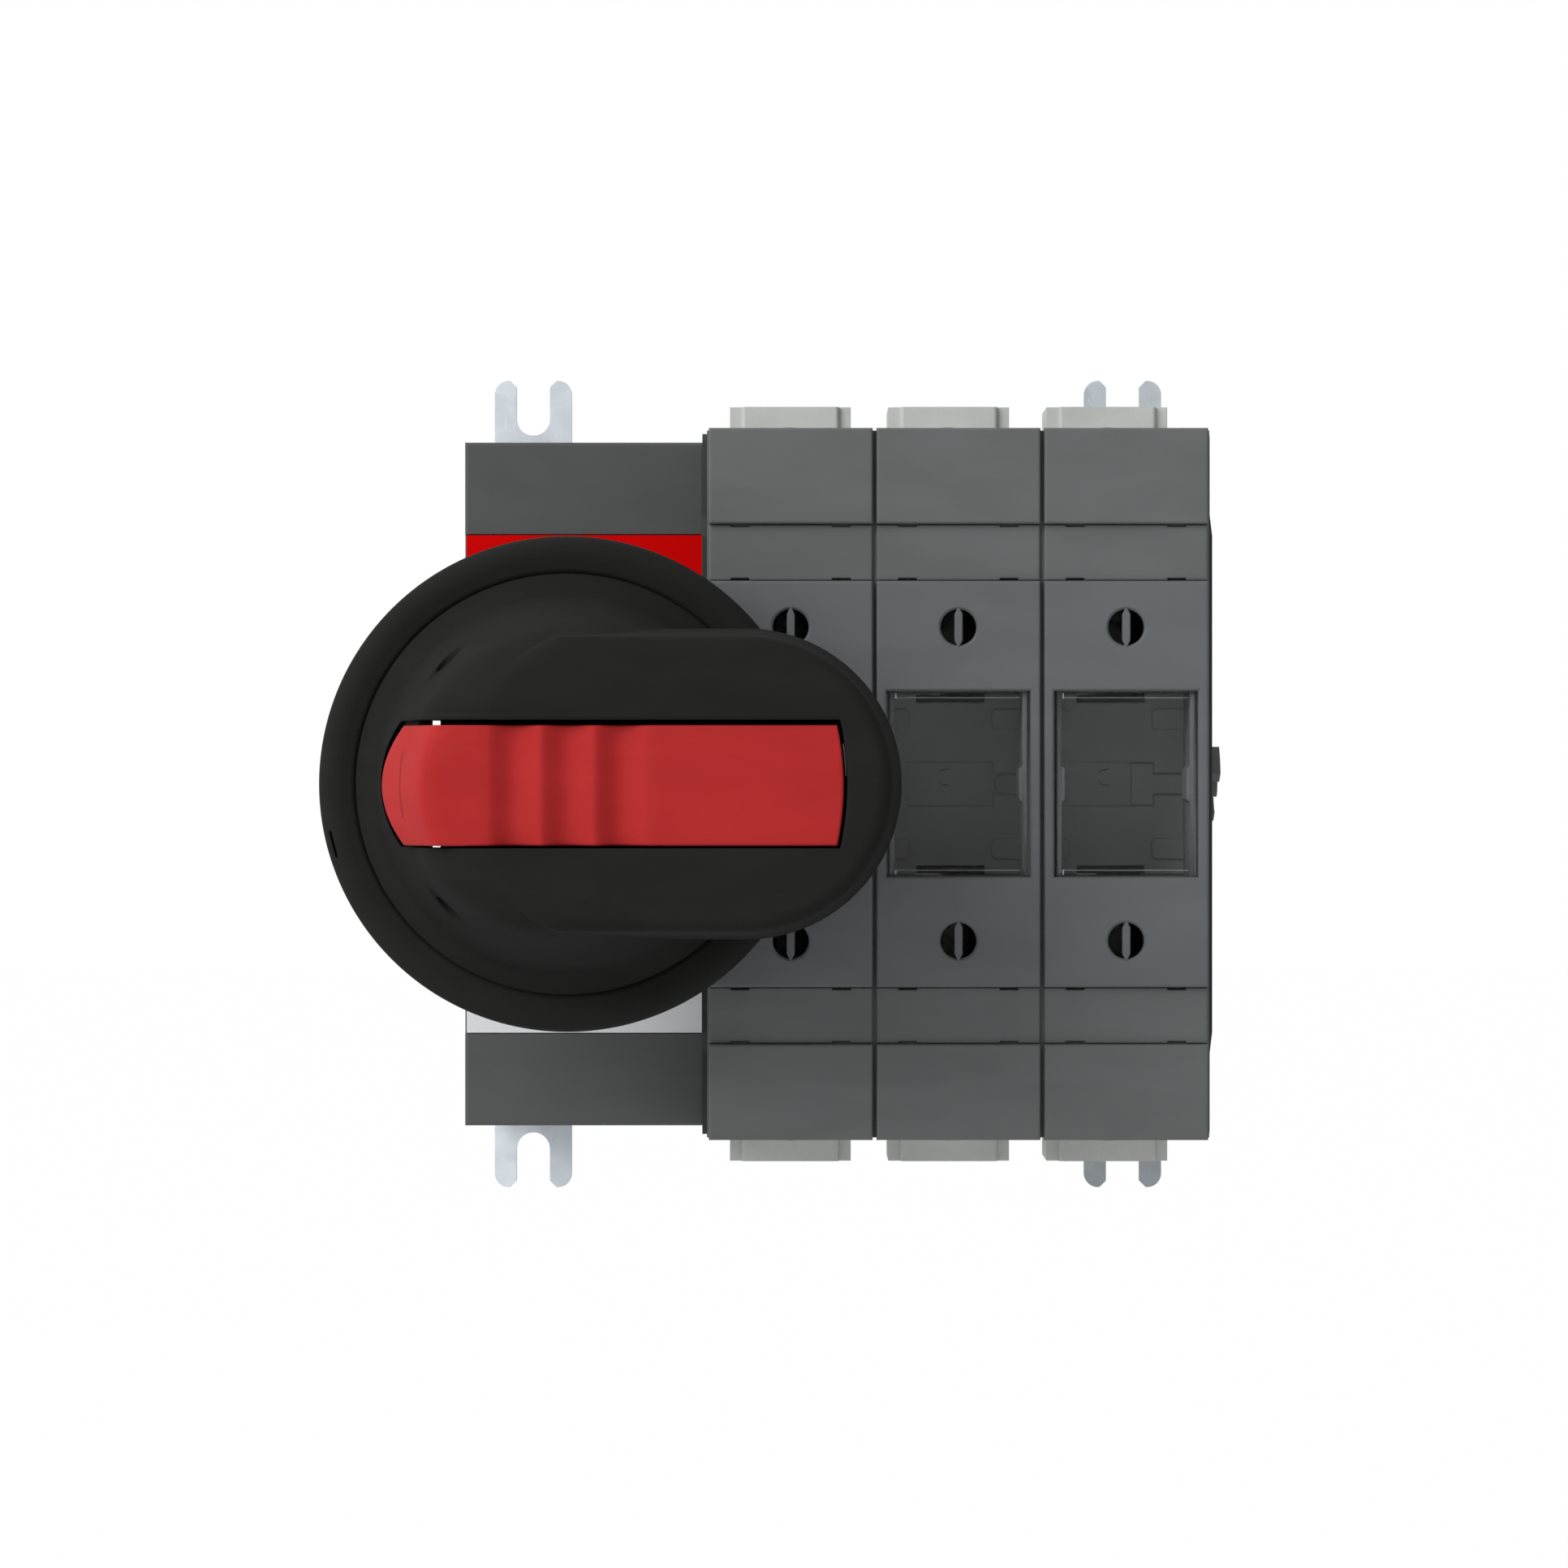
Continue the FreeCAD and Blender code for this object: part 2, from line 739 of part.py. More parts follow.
def terminal_bar(pole, top):
    # Plated copper: from the bolt into the base, back along its wall and in to the contact
    half = bar_width / 2
    outer = box(-half, half, base_front, bar_back, switch_room_half - bar_thickness, terminal_z)
    outer = outer.fuse(rod_y(half, 0, base_front, bar_back, terminal_z))
    near_face = contact_level(top)
    far_face = near_face + bar_thickness if top else near_face - bar_thickness
    x0 = -contact_split / 2 - contact_width
    x1 = -contact_split / 2
    drop = box(x0, x1, base_front, max(near_face, far_face),
               switch_room_half - bar_thickness, switch_room_half)
    inner = box(x0, x1, near_face, far_face, arm_reach - contact_overlap, switch_room_half)
    bar = outer.fuse([drop, inner])
    bar = bar.cut(rod_y(terminal_bolt_diameter / 2 + bolt_fit, 0, base_front, bar_back, terminal_z))
    bar = bar.removeSplitter()
    if not top:
        bar = upside_down(bar)
    return moved(bar, pole_x(pole))


def jaw_leaf_outline(side):
    # One springy leaf of a jaw, its lip turned out to guide the fuse blade
    inner = jaw_gap / 2
    tip = jaw_foot_y - jaw_height
    return [(side * x, y) for x, y in (
        (inner, jaw_foot_y), (inner, tip + jaw_lip), (inner + jaw_flare, tip),
        (inner + jaw_flare + jaw_leaf, tip), (inner + jaw_leaf, tip + jaw_lip),
        (inner + jaw_leaf, jaw_foot_y))]


def fuse_jaw(pole, top):
    # A copper jaw for a fuse blade, with a tail that ends in a fixed contact
    z0 = jaw_z - jaw_width / 2
    z1 = jaw_z + jaw_width / 2
    leaves = []
    for side in (-1, 1):
        corners = [Vector(x, y, z0) for x, y in jaw_leaf_outline(side)]
        face = Part.Face(Part.makePolygon(corners + corners[:1]))
        leaves.append(face.extrude(Vector(0, 0, jaw_width)))
    x0 = contact_split / 2
    x1 = x0 + contact_width
    tail_z = z1 + jaw_tail_overhang
    foot_half = jaw_hole_half_width + jaw_foot_ledge
    foot = box(-foot_half, x1, jaw_foot_y, jaw_foot_back, jaw_foot_inner_z, tail_z)
    near_face = contact_level(top)
    far_face = near_face + bar_thickness if top else near_face - bar_thickness
    drop = box(x0, x1, jaw_foot_back, max(near_face, far_face), tail_z - jaw_tail_thickness, tail_z)
    inner = box(x0, x1, near_face, far_face, arm_reach - contact_overlap, tail_z)
    jaw = foot.fuse(leaves + [drop, inner]).removeSplitter()
    if not top:
        jaw = upside_down(jaw)
    return moved(jaw, pole_x(pole))


def jaw_springs():
    # Steel leaves that press the copper ones together
    springs = []
    outer = jaw_gap / 2 + jaw_leaf
    top = fuse_floor - jaw_spring_height
    for pole in range(pole_count):
        for level in (-1, 1):
            for side in (-1, 1):
                x = pole_x(pole)
                springs.append(box(x + side * outer, x + side * (outer + jaw_spring), top, fuse_floor,
                                   level * jaw_z - jaw_spring_width / 2,
                                   level * jaw_z + jaw_spring_width / 2))
    return Part.makeCompound(springs)


def terminal_bolts():
    # Hexagon bolts, each with its washer
    bolts = []
    washer_front = base_front - washer_thickness
    radius = terminal_bolt_diameter / 2
    for pole in range(pole_count):
        for z in (terminal_z, -terminal_z):
            x = pole_x(pole)
            head = hexagon_y(bolt_head_flats, x, washer_front - bolt_head_height, washer_front, z)
            washer = rod_y(washer_diameter / 2, x, washer_front, base_front, z)
            shank = rod_y(radius, x, base_front, base_front + bolt_reach, z)
            bolts.append(head.fuse([washer, shank]).removeSplitter())
    return Part.makeCompound(bolts)


def terminal_nuts():
    # Captive nuts behind the bars
    nuts = []
    for pole in range(pole_count):
        for z in (terminal_z, -terminal_z):
            x = pole_x(pole)
            nut = hexagon_y(bolt_head_flats, x, bar_back, bar_back + nut_height, z)
            nuts.append(nut.cut(rod_y(terminal_bolt_diameter / 2, x, bar_back, bar_back + nut_height, z)))
    return Part.makeCompound(nuts)


# Cross shaft and what turns with it, drawn switched on and then turned back to off

def switched_off(shape):
    return turned_x(shape, rotor_turn, shaft_y, 0)


def square_bar(size, x0, x1):
    half = size / 2
    return box(x0, x1, shaft_y - half, shaft_y + half, -half, half)


def rotor_arm():
    # The upper arm, which carries the contact on its rear side
    contact_front = shaft_y - moving_contact_thickness / 2
    return box(-arm_width / 2, arm_width / 2, contact_front - arm_thickness, contact_front,
               0, arm_reach - moving_contact_tip)


def contact_rotor(pole):
    # A moulded drum with two arms; its ends run in the walls of the base
    half = half_pitch - rotor_end_gap
    drum = rod_x(rotor_diameter / 2, -half, half, shaft_y, 0)
    drum = drum.fuse([rotor_arm(), turned_x(rotor_arm(), 180, shaft_y, 0)])
    blades = [moving_contact(), turned_x(moving_contact(), 180, shaft_y, 0)]
    drum = drum.cut([square_bar(cross_shaft_size + 2 * square_fit, -half, half)] + blades)
    return moved(switched_off(drum.removeSplitter()), pole_x(pole))


def moving_contact():
    half = moving_contact_thickness / 2
    return box(-moving_contact_width / 2, moving_contact_width / 2,
               shaft_y - half, shaft_y + half,
               rotor_diameter / 2 - moving_contact_root, arm_reach)


def moving_contacts():
    # Silvered copper bridges, two to a pole
    blades = []
    for pole in range(pole_count):
        for half_turn in (0, 180):
            blade = turned_x(moving_contact(), half_turn, shaft_y, 0)
            blades.append(moved(switched_off(blade), pole_x(pole)))
    return Part.makeCompound(blades)


def cross_shaft():
    # A square steel bar through all the poles
    shaft = square_bar(cross_shaft_size, fork_hub_left(), pole_stack_right + coupler_disc)
    return switched_off(shaft)


def fork_hub_left():
    return mechanism_right - mechanism_wall - fork_hub_length


def drive_fork():
    # The lever that the crank's ball swings, with two prongs reaching over the ball
    hub_left = fork_hub_left()
    hub = rod_x(rotor_diameter / 2, hub_left, pole_stack_left - rotor_end_gap, shaft_y, 0)
    inner = crank_ball_diameter / 2 + crank_play
    outer = inner + fork_wall
    prong_low = ball_y + fork_half_length
    prong_tip = ball_y - fork_half_length
    prong_left = handle_shaft_x + fork_prong_x
    web_right = mechanism_right - mechanism_wall - bearing_clearance
    web = box(hub_left, web_right, prong_tip, shaft_y, -outer, outer)
    web = web.fuse(rod_x(rotor_diameter / 2 + fork_hub_wall, hub_left, web_right, shaft_y, 0))
    prongs = [box(prong_left, hub_left, prong_tip, prong_low, side * inner, side * outer)
              for side in (-1, 1)]
    fork = hub.fuse([web] + prongs)
    fork = turned_x(fork.removeSplitter(), fork_angle, shaft_y, 0)
    return fork.cut(switched_off(square_bar(cross_shaft_size + 2 * square_fit, hub_left, pole_stack_left)))


def shaft_coupler():
    # A claw disc on the end of the cross shaft, for a further switch beside this one
    start = pole_stack_right + rotor_end_gap
    disc_end = start + plate_thickness + coupler_disc
    claw_end = disc_end + coupler_claw
    disc = rod_x(coupler_diameter / 2, start, disc_end, shaft_y, 0)
    claw_bar = box(disc_end, claw_end, shaft_y - coupler_claw_width / 2,
                   shaft_y + coupler_claw_width / 2, -coupler_diameter, coupler_diameter)
    middle = rod_x(coupler_diameter / 2 - coupler_claw_wall, disc_end, claw_end, shaft_y, 0)
    claws = claw_bar.common(rod_x(coupler_diameter / 2, disc_end, claw_end, shaft_y, 0)).cut(middle)
    stub = rod_x(coupler_stub / 2, disc_end, claw_end, shaft_y, 0)
    bore = square_bar(cross_shaft_size + 2 * square_fit, start, pole_stack_right + coupler_disc)
    coupler = disc.fuse([claws, stub]).cut(bore)
    return switched_off(coupler.removeSplitter())


# Mechanism

def mechanism_shell(y0, y1, wall_y0, wall_y1):
    # A box with the wall thickness taken out between two levels
    outer = box(mechanism_left, mechanism_right, y0, y1, -cover_half_span, cover_half_span)
    inner = box(mechanism_left + mechanism_wall, mechanism_right - mechanism_wall, wall_y0, wall_y1,
                -cover_half_span + mechanism_wall, cover_half_span - mechanism_wall)
    return outer.cut(inner)


def spring_shelf():
    # A shelf with a stud that centres the upper snap spring
    x = handle_shaft_x - snap_spring_x
    seat = switch_room_half
    shelf = box(mechanism_left + mechanism_wall, x + snap_spring_diameter, mechanism_split, -mechanism_wall,
                seat, seat + mechanism_wall)
    core = snap_spring_diameter / 2 - snap_spring_wire - bearing_clearance
    stud = rod_z(core, x, -snap_spring_depth, seat - snap_spring_length + snap_stud_gap, seat)
    return shelf.fuse(stud)


def mechanism_housing():
    # The rear half of the mechanism's casing
    body = mechanism_shell(mechanism_split, 0, mechanism_split, -mechanism_wall)
    posts = [rod_y(screw_diameter, -strap_x, -screw_length - mechanism_wall, -strap_thickness, z)
             for z in (-strap_screw_z, strap_screw_z)]
    support = rod_y(hub_support_radius, handle_shaft_x, hub_back() + bearing_clearance,
                    -mechanism_wall, 0)
    body = body.fuse(posts + [support, spring_shelf(), upside_down(spring_shelf())])
    bearing = rod_x(rotor_bore, mechanism_right - mechanism_wall, mechanism_right, shaft_y, 0)
    cuts = [strap_channel(-strap_x), bearing] + rod_holes(mechanism_right - mechanism_wall, mechanism_right)
    return body.cut(cuts).removeSplitter()


def mechanism_cover():
    # The front half of the casing, with a raised block at each end and a recessed panel field
    body = mechanism_shell(mechanism_front, mechanism_split,
                           mechanism_front + mechanism_wall + panel_thickness, mechanism_split)
    body = round_edges(body, mechanism_edge, front_edges(mechanism_front))
    field = box(mechanism_left, mechanism_right, mechanism_front, mechanism_front + panel_thickness,
                -panel_half_height, panel_half_height)
    boss = rod_y(hub_neck_diameter / 2 + bearing_clearance + boss_wall, handle_shaft_x,
                 mechanism_front + panel_thickness, mechanism_front + panel_thickness + boss_length, 0)
    bore = rod_y(hub_neck_diameter / 2 + bearing_clearance, handle_shaft_x,
                 mechanism_front, mechanism_split, 0)
    return body.cut(field).fuse(boss).cut(bore).removeSplitter()


def front_panel():
    # The light plate that fills the field, level with the end blocks
    half = panel_half_height - panel_margin / 2
    plate = box(mechanism_left + panel_margin, mechanism_right - panel_margin, mechanism_front,
                mechanism_front + panel_thickness, -half, half)
    return plate.cut(rod_y(hub_neck_diameter / 2 + bearing_clearance, handle_shaft_x,
                           mechanism_front, mechanism_front + panel_thickness, 0))


def front_label():
    # The red field at the top of the panel, left bare
    return box(mechanism_left + panel_margin, mechanism_right - panel_margin,
               mechanism_front - label_thickness, mechanism_front,
               label_bottom_z, panel_half_height - panel_margin / 2)


def hub_back():
    return mechanism_front + panel_thickness + boss_length + bearing_clearance + hub_disc_thickness


def spindle_hub():
    # The crank on the handle's shaft: a neck in the cover's boss, a disc and a ball pin
    disc_front = hub_back() - hub_disc_thickness
    neck = rod_y(hub_neck_diameter / 2, handle_shaft_x, mechanism_front, disc_front, 0)
    disc = rod_y(hub_disc_diameter / 2, handle_shaft_x, disc_front, hub_back(), 0)
    pin_x = handle_shaft_x + crank_radius
    arm = box(handle_shaft_x, pin_x, disc_front, hub_back(), -crank_arm_half, crank_arm_half)
    arm_end = rod_y(crank_arm_half, pin_x, disc_front, hub_back(), 0)
    pin = rod_y(crank_ball_diameter / 2 - crank_pin_neck, pin_x, hub_back(), ball_y, 0)
    ball = Part.makeSphere(crank_ball_diameter / 2, Vector(pin_x, ball_y, 0))
    hub = neck.fuse([disc, arm, arm_end, pin, ball])
    hub = hub.removeSplitter()
    hub.rotate(Vector(handle_shaft_x, 0, 0), Vector(0, -1, 0), -crank_half_turn)
    half = handle_shaft_size / 2 + square_fit
    bore = box(handle_shaft_x - half, handle_shaft_x + half, mechanism_front,
               hub_back() - hub_floor, -half, half)
    return hub.cut(bore)


def coil_spring(radius, wire_radius, length, turns):
    # A coil along Z, drawn as a run of hexagonal wire sections in radial planes
    sections = []
    for step in range(spring_steps * turns + 1):
        turn = 2 * math.pi * step / spring_steps
        level = length * step / (spring_steps * turns)
        corners = []
        for corner in range(6):
            around = math.pi * corner / 3
            out = radius + wire_radius * math.cos(around)
            corners.append(Vector(out * math.cos(turn), out * math.sin(turn),
                                  level + wire_radius * math.sin(around)))
        sections.append(Part.makePolygon(corners + corners[:1]))
    return Part.makeLoft(sections, True, True)


def snap_springs():
    # Two springs that throw the mechanism over
    mean_radius = (snap_spring_diameter - snap_spring_wire) / 2
    length = snap_spring_length - snap_spring_wire
    coil = coil_spring(mean_radius, snap_spring_wire / 2, length, snap_spring_turns)
    bottom = switch_room_half - snap_spring_length + snap_spring_wire / 2
    upper = moved(coil, handle_shaft_x - snap_spring_x, -snap_spring_depth, bottom)
    return Part.makeCompound([upper, upside_down(upper)])


# End plates and tie rods

def end_plate(x0, hole_radius):
    # A cover plate whose front edge steps forward beside the fuse covers
    half = plate_length / 2
    outline = [(-plate_back, -half), (-plate_front_end, -half),
               (-plate_front_end, -plate_step_outer), (-plate_front_middle, -plate_step_inner),
               (-plate_front_middle, plate_step_inner), (-plate_front_end, plate_step_outer),
               (-plate_front_end, half), (-plate_back, half)]
    plate = prism_x(outline, x0, x0 + plate_thickness)
    plate = round_edges(plate, plate_corner, lambda b: b.XLength > plate_thickness / 2
                        and near(abs(b.ZMin), half) and near(b.ZLength, 0))
    x1 = x0 + plate_thickness
    return plate.cut([rod_x(hole_radius, x0, x1, shaft_y, 0)] + rod_holes(x0, x1))


def tie_rods():
    # Threaded rods with a nut at each end that clamp the poles between the plates
    rods = []
    left = mechanism_right - mechanism_wall
    right = pole_stack_right + plate_thickness
    for depth, z in rod_places:
        for sign in (1, -1):
            rod = rod_x(rod_diameter / 2, left - rod_nut_height - 1, right + rod_nut_height + 1,
                        -depth, sign * z)
            nuts = [hexagon_x(rod_nut_flats, left - rod_nut_height, left, -depth, sign * z),
                    hexagon_x(rod_nut_flats, right, right + rod_nut_height, -depth, sign * z)]
            rods.append(rod.fuse(nuts).removeSplitter())
    return Part.makeCompound(rods)


# Interlock slide

def interlock_slide():
    # A small latch in the last pole's floor, its tab reaching under the side rib
    right = room_half_width - interlock_gap
    block_right = recess_half_width - interlock_gap
    back = fuse_floor + recess_depth - interlock_gap
    front = back - interlock_height
    block = box(block_right - interlock_block, block_right, front, back,
                -recess_half_height + interlock_tab_gap, recess_half_height - interlock_tab_gap)
    tab = box(block_right, right, front, back,
              -channel_half_height + interlock_tab_gap, channel_half_height - interlock_tab_gap)
    return moved(block.fuse(tab).removeSplitter(), pole_x(pole_count - 1))


# Handle

def handle_level(height):
    # The level of a height above the back of the collar
    return -handle_back_depth - height


def dome_radius(height):
    # The radius of the dome's straight cone
    share = (height - dome_foot_height) / (handle_height - dome_foot_height)
    return dome_foot_radius + share * (dome_top_radius - dome_foot_radius)


def turned(points):
    # A solid turned about the handle's shaft from radii and heights
    return revolve_y([(radius, handle_level(height)) for radius, height in points], 0)


def circles_at(height):
    # Picks the round edges of a turned solid at one height
    level = handle_level(height)

    def wanted(bounds):
        return near(bounds.YMin, level) and near(bounds.YMax, level) and bounds.XLength > handle_shaft_size
    return wanted


def dome():
    # The turning disc: a thin rim, a hollow foot, a steep cone and a well rounded top
    solid = turned([(0, 0), (disc_radius, 0), (disc_radius, disc_rim),
                    (disc_radius - disc_shoulder, disc_rim + disc_rim_round),
                    (dome_foot_radius, dome_foot_height), (dome_top_radius, handle_height),
                    (0, handle_height)])
    solid = round_edges(solid, dome_top_round, circles_at(handle_height))
    return round_edges(solid, dome_foot_round, circles_at(dome_foot_height))


def grip_outline(half, back, height):
    # The grip seen from the front: a round nose, straight sides and a flatter arc at the back
    y = handle_level(height)
    nose = Part.Arc(Vector(grip_end_x, y, -half), Vector(grip_end_x + half, y, 0),
                    Vector(grip_end_x, y, half)).toShape()
    upper = Part.makeLine(Vector(grip_end_x, y, half), Vector(0, y, half))
    rear = Part.Arc(Vector(0, y, half), Vector(-back, y, 0), Vector(0, y, -half)).toShape()
    lower = Part.makeLine(Vector(0, y, -half), Vector(grip_end_x, y, -half))
    return Part.Wire([nose, upper, rear, lower])


def grip_body(inset, low, high):
    # The tapered grip between two heights, inset from its outer faces
    def outline_at(height):
        share = (height - grip_base_height) / (handle_height - grip_base_height)
        half = grip_base_half + share * (grip_top_half - grip_base_half) - inset
        return grip_outline(half, grip_back_x - inset, height)
    return Part.makeLoft([outline_at(low), outline_at(high)], True, True)


def bulged(start, end, x):
    # One end of a bar: an arc through the middle at x, or a straight line
    if near(start.x, x):
        return Part.makeLine(start, end)
    return Part.Arc(start, Vector(x, start.y, 0), end).toShape()


def plan_shape(left, right, half, left_sag, right_sag, y0, y1):
    # A bar seen from the front whose ends bulge outward by the given sags
    corners = [Vector(left, y0, -half), Vector(right, y0, -half),
               Vector(right, y0, half), Vector(left, y0, half)]
    edges = [Part.makeLine(corners[0], corners[1]), bulged(corners[1], corners[2], right + right_sag),
             Part.makeLine(corners[2], corners[3]), bulged(corners[3], corners[0], left - left_sag)]
    return Part.Face(Part.Wire(edges)).extrude(Vector(0, y1 - y0, 0))


def lock_slot():
    # The long pocket of the padlock slide and the channel of its hook
    top = handle_level(handle_height + slot_web)
    floor = handle_level(slot_floor_height)
    pocket = plan_shape(-dome_foot_radius, lock_slot_right - lock_slot_sag, lock_slot_half,
                        0, lock_slot_sag, top, floor)
    channel = box(-dome_foot_radius, -hook_right + hook_gap, floor,
                  handle_level(handle_height - hook_drop - hook_gap),
                  -hook_half - hook_gap, hook_half + hook_gap)
    return pocket.fuse(channel)


def cap_recess():
    # The shallow step in the cone round the cap of the padlock slide
    left = -lock_tip_x - cap_recess_gap + lock_tip_sag
    outline = plan_shape(left, 0, lock_slot_half, lock_tip_sag, 0, handle_level(handle_height),
                         handle_level(dome_foot_height))
    core = turned([(0, 0), (dome_radius(0) - cap_recess_depth, 0),
                   (dome_radius(handle_height) - cap_recess_depth, handle_height),
                   (0, handle_height)])
    return outline.cut(core)


def guide_slots():
    # Two narrow slots through the pocket's floor, in which the slide's guides can run
    return [box(-guide_slot_x - guide_slot_width / 2, -guide_slot_x + guide_slot_width / 2,
                handle_level(slot_floor_height), handle_level(0),
                side * guide_slot_half, side * lock_slot_half) for side in (-1, 1)]


def handle_grip():
    # One black moulding: the turning disc, the dome over it and the pistol grip
    hump = grip_body(0, grip_base_height, handle_height)
    hump = round_edges(hump, grip_edge, front_edges(handle_level(handle_height)))
    hollow_disc = turned([(0, 0), (disc_radius - disc_wall, 0),
                          (disc_radius - disc_wall, disc_rim - disc_shoulder),
                          (dome_foot_radius - grip_wall, dome_foot_height),
                          (dome_radius(hollow_height) - grip_wall, hollow_height), (0, hollow_height)])
    hollow_grip = grip_body(grip_wall, grip_base_height - disc_rim_round, hollow_height)
    body = dome().fuse(hump).cut([hollow_disc, hollow_grip])
    inside = turned([(0, 0), (dome_radius(0) - grip_wall / 2, 0),
                     (dome_radius(handle_height) - grip_wall / 2, handle_height), (0, handle_height)])
    channel_half = hook_half + hook_gap + grip_wall
    channel_floor = handle_height - hook_drop - hook_gap - grip_wall
    channel_web = box(-dome_foot_radius, -hook_right + hook_gap + grip_wall, handle_level(hollow_height),
                      handle_level(channel_floor), -channel_half, channel_half)
    socket = rod_y(socket_radius, 0, handle_level(hollow_height), handle_level(0), 0)
    body = body.fuse([socket, channel_web.common(inside)])
    half = handle_shaft_size / 2 + square_fit
    bore = box(-half, half, handle_level(hollow_height) + socket_floor, handle_level(0), -half, half)
    padlock_hole = rod_z(padlock_hole_diameter / 2, -padlock_hole_x,
                         handle_level(handle_height - padlock_hole_drop), -dome_foot_radius, dome_foot_radius)
    body = body.cut([lock_slot(), cap_recess(), bore, padlock_hole] + guide_slots())
    return moved(body.removeSplitter(), handle_shaft_x)


def scooped_bar():
    # The slide's long side view: a flat bar with finger scoops in its top
    top = handle_level(lock_top_height)
    floor = handle_level(slot_floor_height + lock_floor_gap)
    scoop_end = scoop_start_x + scoop_count * scoop_pitch
    right = lock_slot_right - lock_end_gap

    def at(x, y):
        return Vector(x, y, -lock_half)

    edges = [Part.makeLine(at(-lock_tip_x, floor), at(-lock_tip_x, top)),
             Part.makeLine(at(-lock_tip_x, top), at(scoop_start_x, top))]
    for scoop in range(scoop_count):
        x0 = scoop_start_x + scoop * scoop_pitch
        x1 = x0 + scoop_pitch
        edges.append(Part.Arc(at(x0, top), at((x0 + x1) / 2, top + scoop_depth), at(x1, top)).toShape())
    corners = [at(scoop_end, top), at(right, top), at(right, floor), at(-lock_tip_x, floor)]
    edges += [Part.makeLine(a, b) for a, b in zip(corners, corners[1:])]
    return Part.Face(Part.Wire(edges)).extrude(Vector(0, 0, 2 * lock_half))


def lock_cone():
    # The cone that the slide's rear end follows down the dome, with a fine line in it
    low = handle_height - lock_cap_drop
    line_height = lock_top_height - (lock_line_radius - lock_cone_radius) * lock_cone_slope
    cone = turned([(0, low), (lock_cone_radius + (lock_top_height - low) / lock_cone_slope, low),
                   (lock_cone_radius, lock_top_height), (0, lock_top_height)])
    line = turned([(lock_line_radius, line_height - lock_line_depth),
                   (lock_line_radius + lock_line_width, line_height - lock_line_depth),
                   (lock_line_radius + lock_line_width, handle_height), (lock_line_radius, handle_height)])
    reach = box(-dome_foot_radius, 0, handle_level(handle_height), handle_level(low),
                -lock_line_half, lock_line_half)
    return cone.cut(line.common(reach))


def lock_slide():
    # The red padlock slide: a finger-grooved bar with a cap over the dome and a hook under it
    right = lock_slot_right - lock_end_gap
    top = handle_level(handle_height)
    floor = handle_level(slot_floor_height + lock_floor_gap)
    cap_floor = handle_level(handle_height - lock_cap_drop)
    outline = plan_shape(-lock_tip_x + lock_tip_sag, right - lock_slot_sag, lock_half,
                         lock_tip_sag, lock_slot_sag, top, cap_floor)
    under_cap = turned([(0, 0), (dome_radius(0) + lock_cap_gap, 0),
                        (dome_radius(handle_height) + lock_cap_gap, handle_height), (0, handle_height)])
    cap = box(-lock_tip_x, 0, floor, cap_floor, -lock_half, lock_half).cut(under_cap)
    forward = box(0, right, top, floor, -lock_half, lock_half)
    slide = scooped_bar().fuse(cap).common(outline).common(lock_cone().fuse(forward))
    hook = box(-hook_left, -hook_right, floor - lock_floor_gap,
               handle_level(handle_height - hook_drop), -hook_half, hook_half)
    spring_left = lock_slot_right - lock_slot_sag - lock_spring_thickness - bearing_clearance
    spring_room = box(spring_left, lock_slot_right, top, floor,
                      lock_spring_bottom_z - bearing_clearance,
                      lock_spring_bottom_z + lock_spring_length + bearing_clearance)
    slide = moved(slide, 0, 0, -lock_sink).fuse(hook).cut(spring_room)
    return moved(slide.removeSplitter(), handle_shaft_x)


def lock_spring():
    # The leaf spring at the nose end of the slot
    x1 = handle_shaft_x + lock_slot_right - lock_slot_sag
    return box(x1 - lock_spring_thickness, x1, handle_level(handle_height) + lock_spring_recess,
               handle_level(slot_floor_height), lock_spring_bottom_z,
               lock_spring_bottom_z + lock_spring_length)


def handle_collar():
    # The fixed ring round the turning disc, its crown well rounded
    collar = turned([(collar_inner_radius, 0), (collar_outer_radius, 0), (collar_outer_radius, collar_crown),
                     (collar_inner_radius, collar_crown)])
    outer = collar_outer_radius * 2
    rim = circles_at(collar_crown)
    collar = round_edges(collar, collar_outer_round, lambda b: rim(b) and near(b.XLength, outer))
    collar = round_edges(collar, collar_inner_round,
                         lambda b: rim(b) and near(b.XLength, 2 * collar_inner_radius))
    notch_end = collar_outer_radius - collar_notch_inset
    notch = box(notch_end - collar_notch_width, notch_end, handle_level(handle_height),
                handle_level(collar_crown - collar_notch_depth),
                -collar_notch_length / 2, collar_notch_length / 2)
    notch.rotate(Vector(0, 0, 0), Vector(0, -1, 0), collar_notch_angle)
    return moved(collar.cut(notch), handle_shaft_x)


def ring(inner, outer, y0, y1):
    return moved(revolve_y([(inner, y0), (outer, y0), (outer, y1), (inner, y1)], 0), handle_shaft_x)


def collar_seal():
    # The foam ring behind the collar
    return ring(seal_inner_radius, seal_outer_radius, handle_level(0), handle_level(0) + seal_thickness)


def disc_retainer():
    # The ring behind the disc that keeps the collar on it
    back = handle_level(0)
    return ring(retainer_inner_radius, retainer_outer_radius, back + retainer_gap,
                back + retainer_gap + retainer_thickness).fuse(
        ring(retainer_inner_radius, collar_inner_radius - disc_clearance, back, back + retainer_gap)
    ).removeSplitter()


def handle_shaft():
    # A square steel rod from the handle's socket to the crank
    half = handle_shaft_size / 2
    return box(handle_shaft_x - half, handle_shaft_x + half,
               handle_level(hollow_height) + socket_floor + shaft_end_gap,
               hub_back() - hub_floor - shaft_end_gap, -half, half)


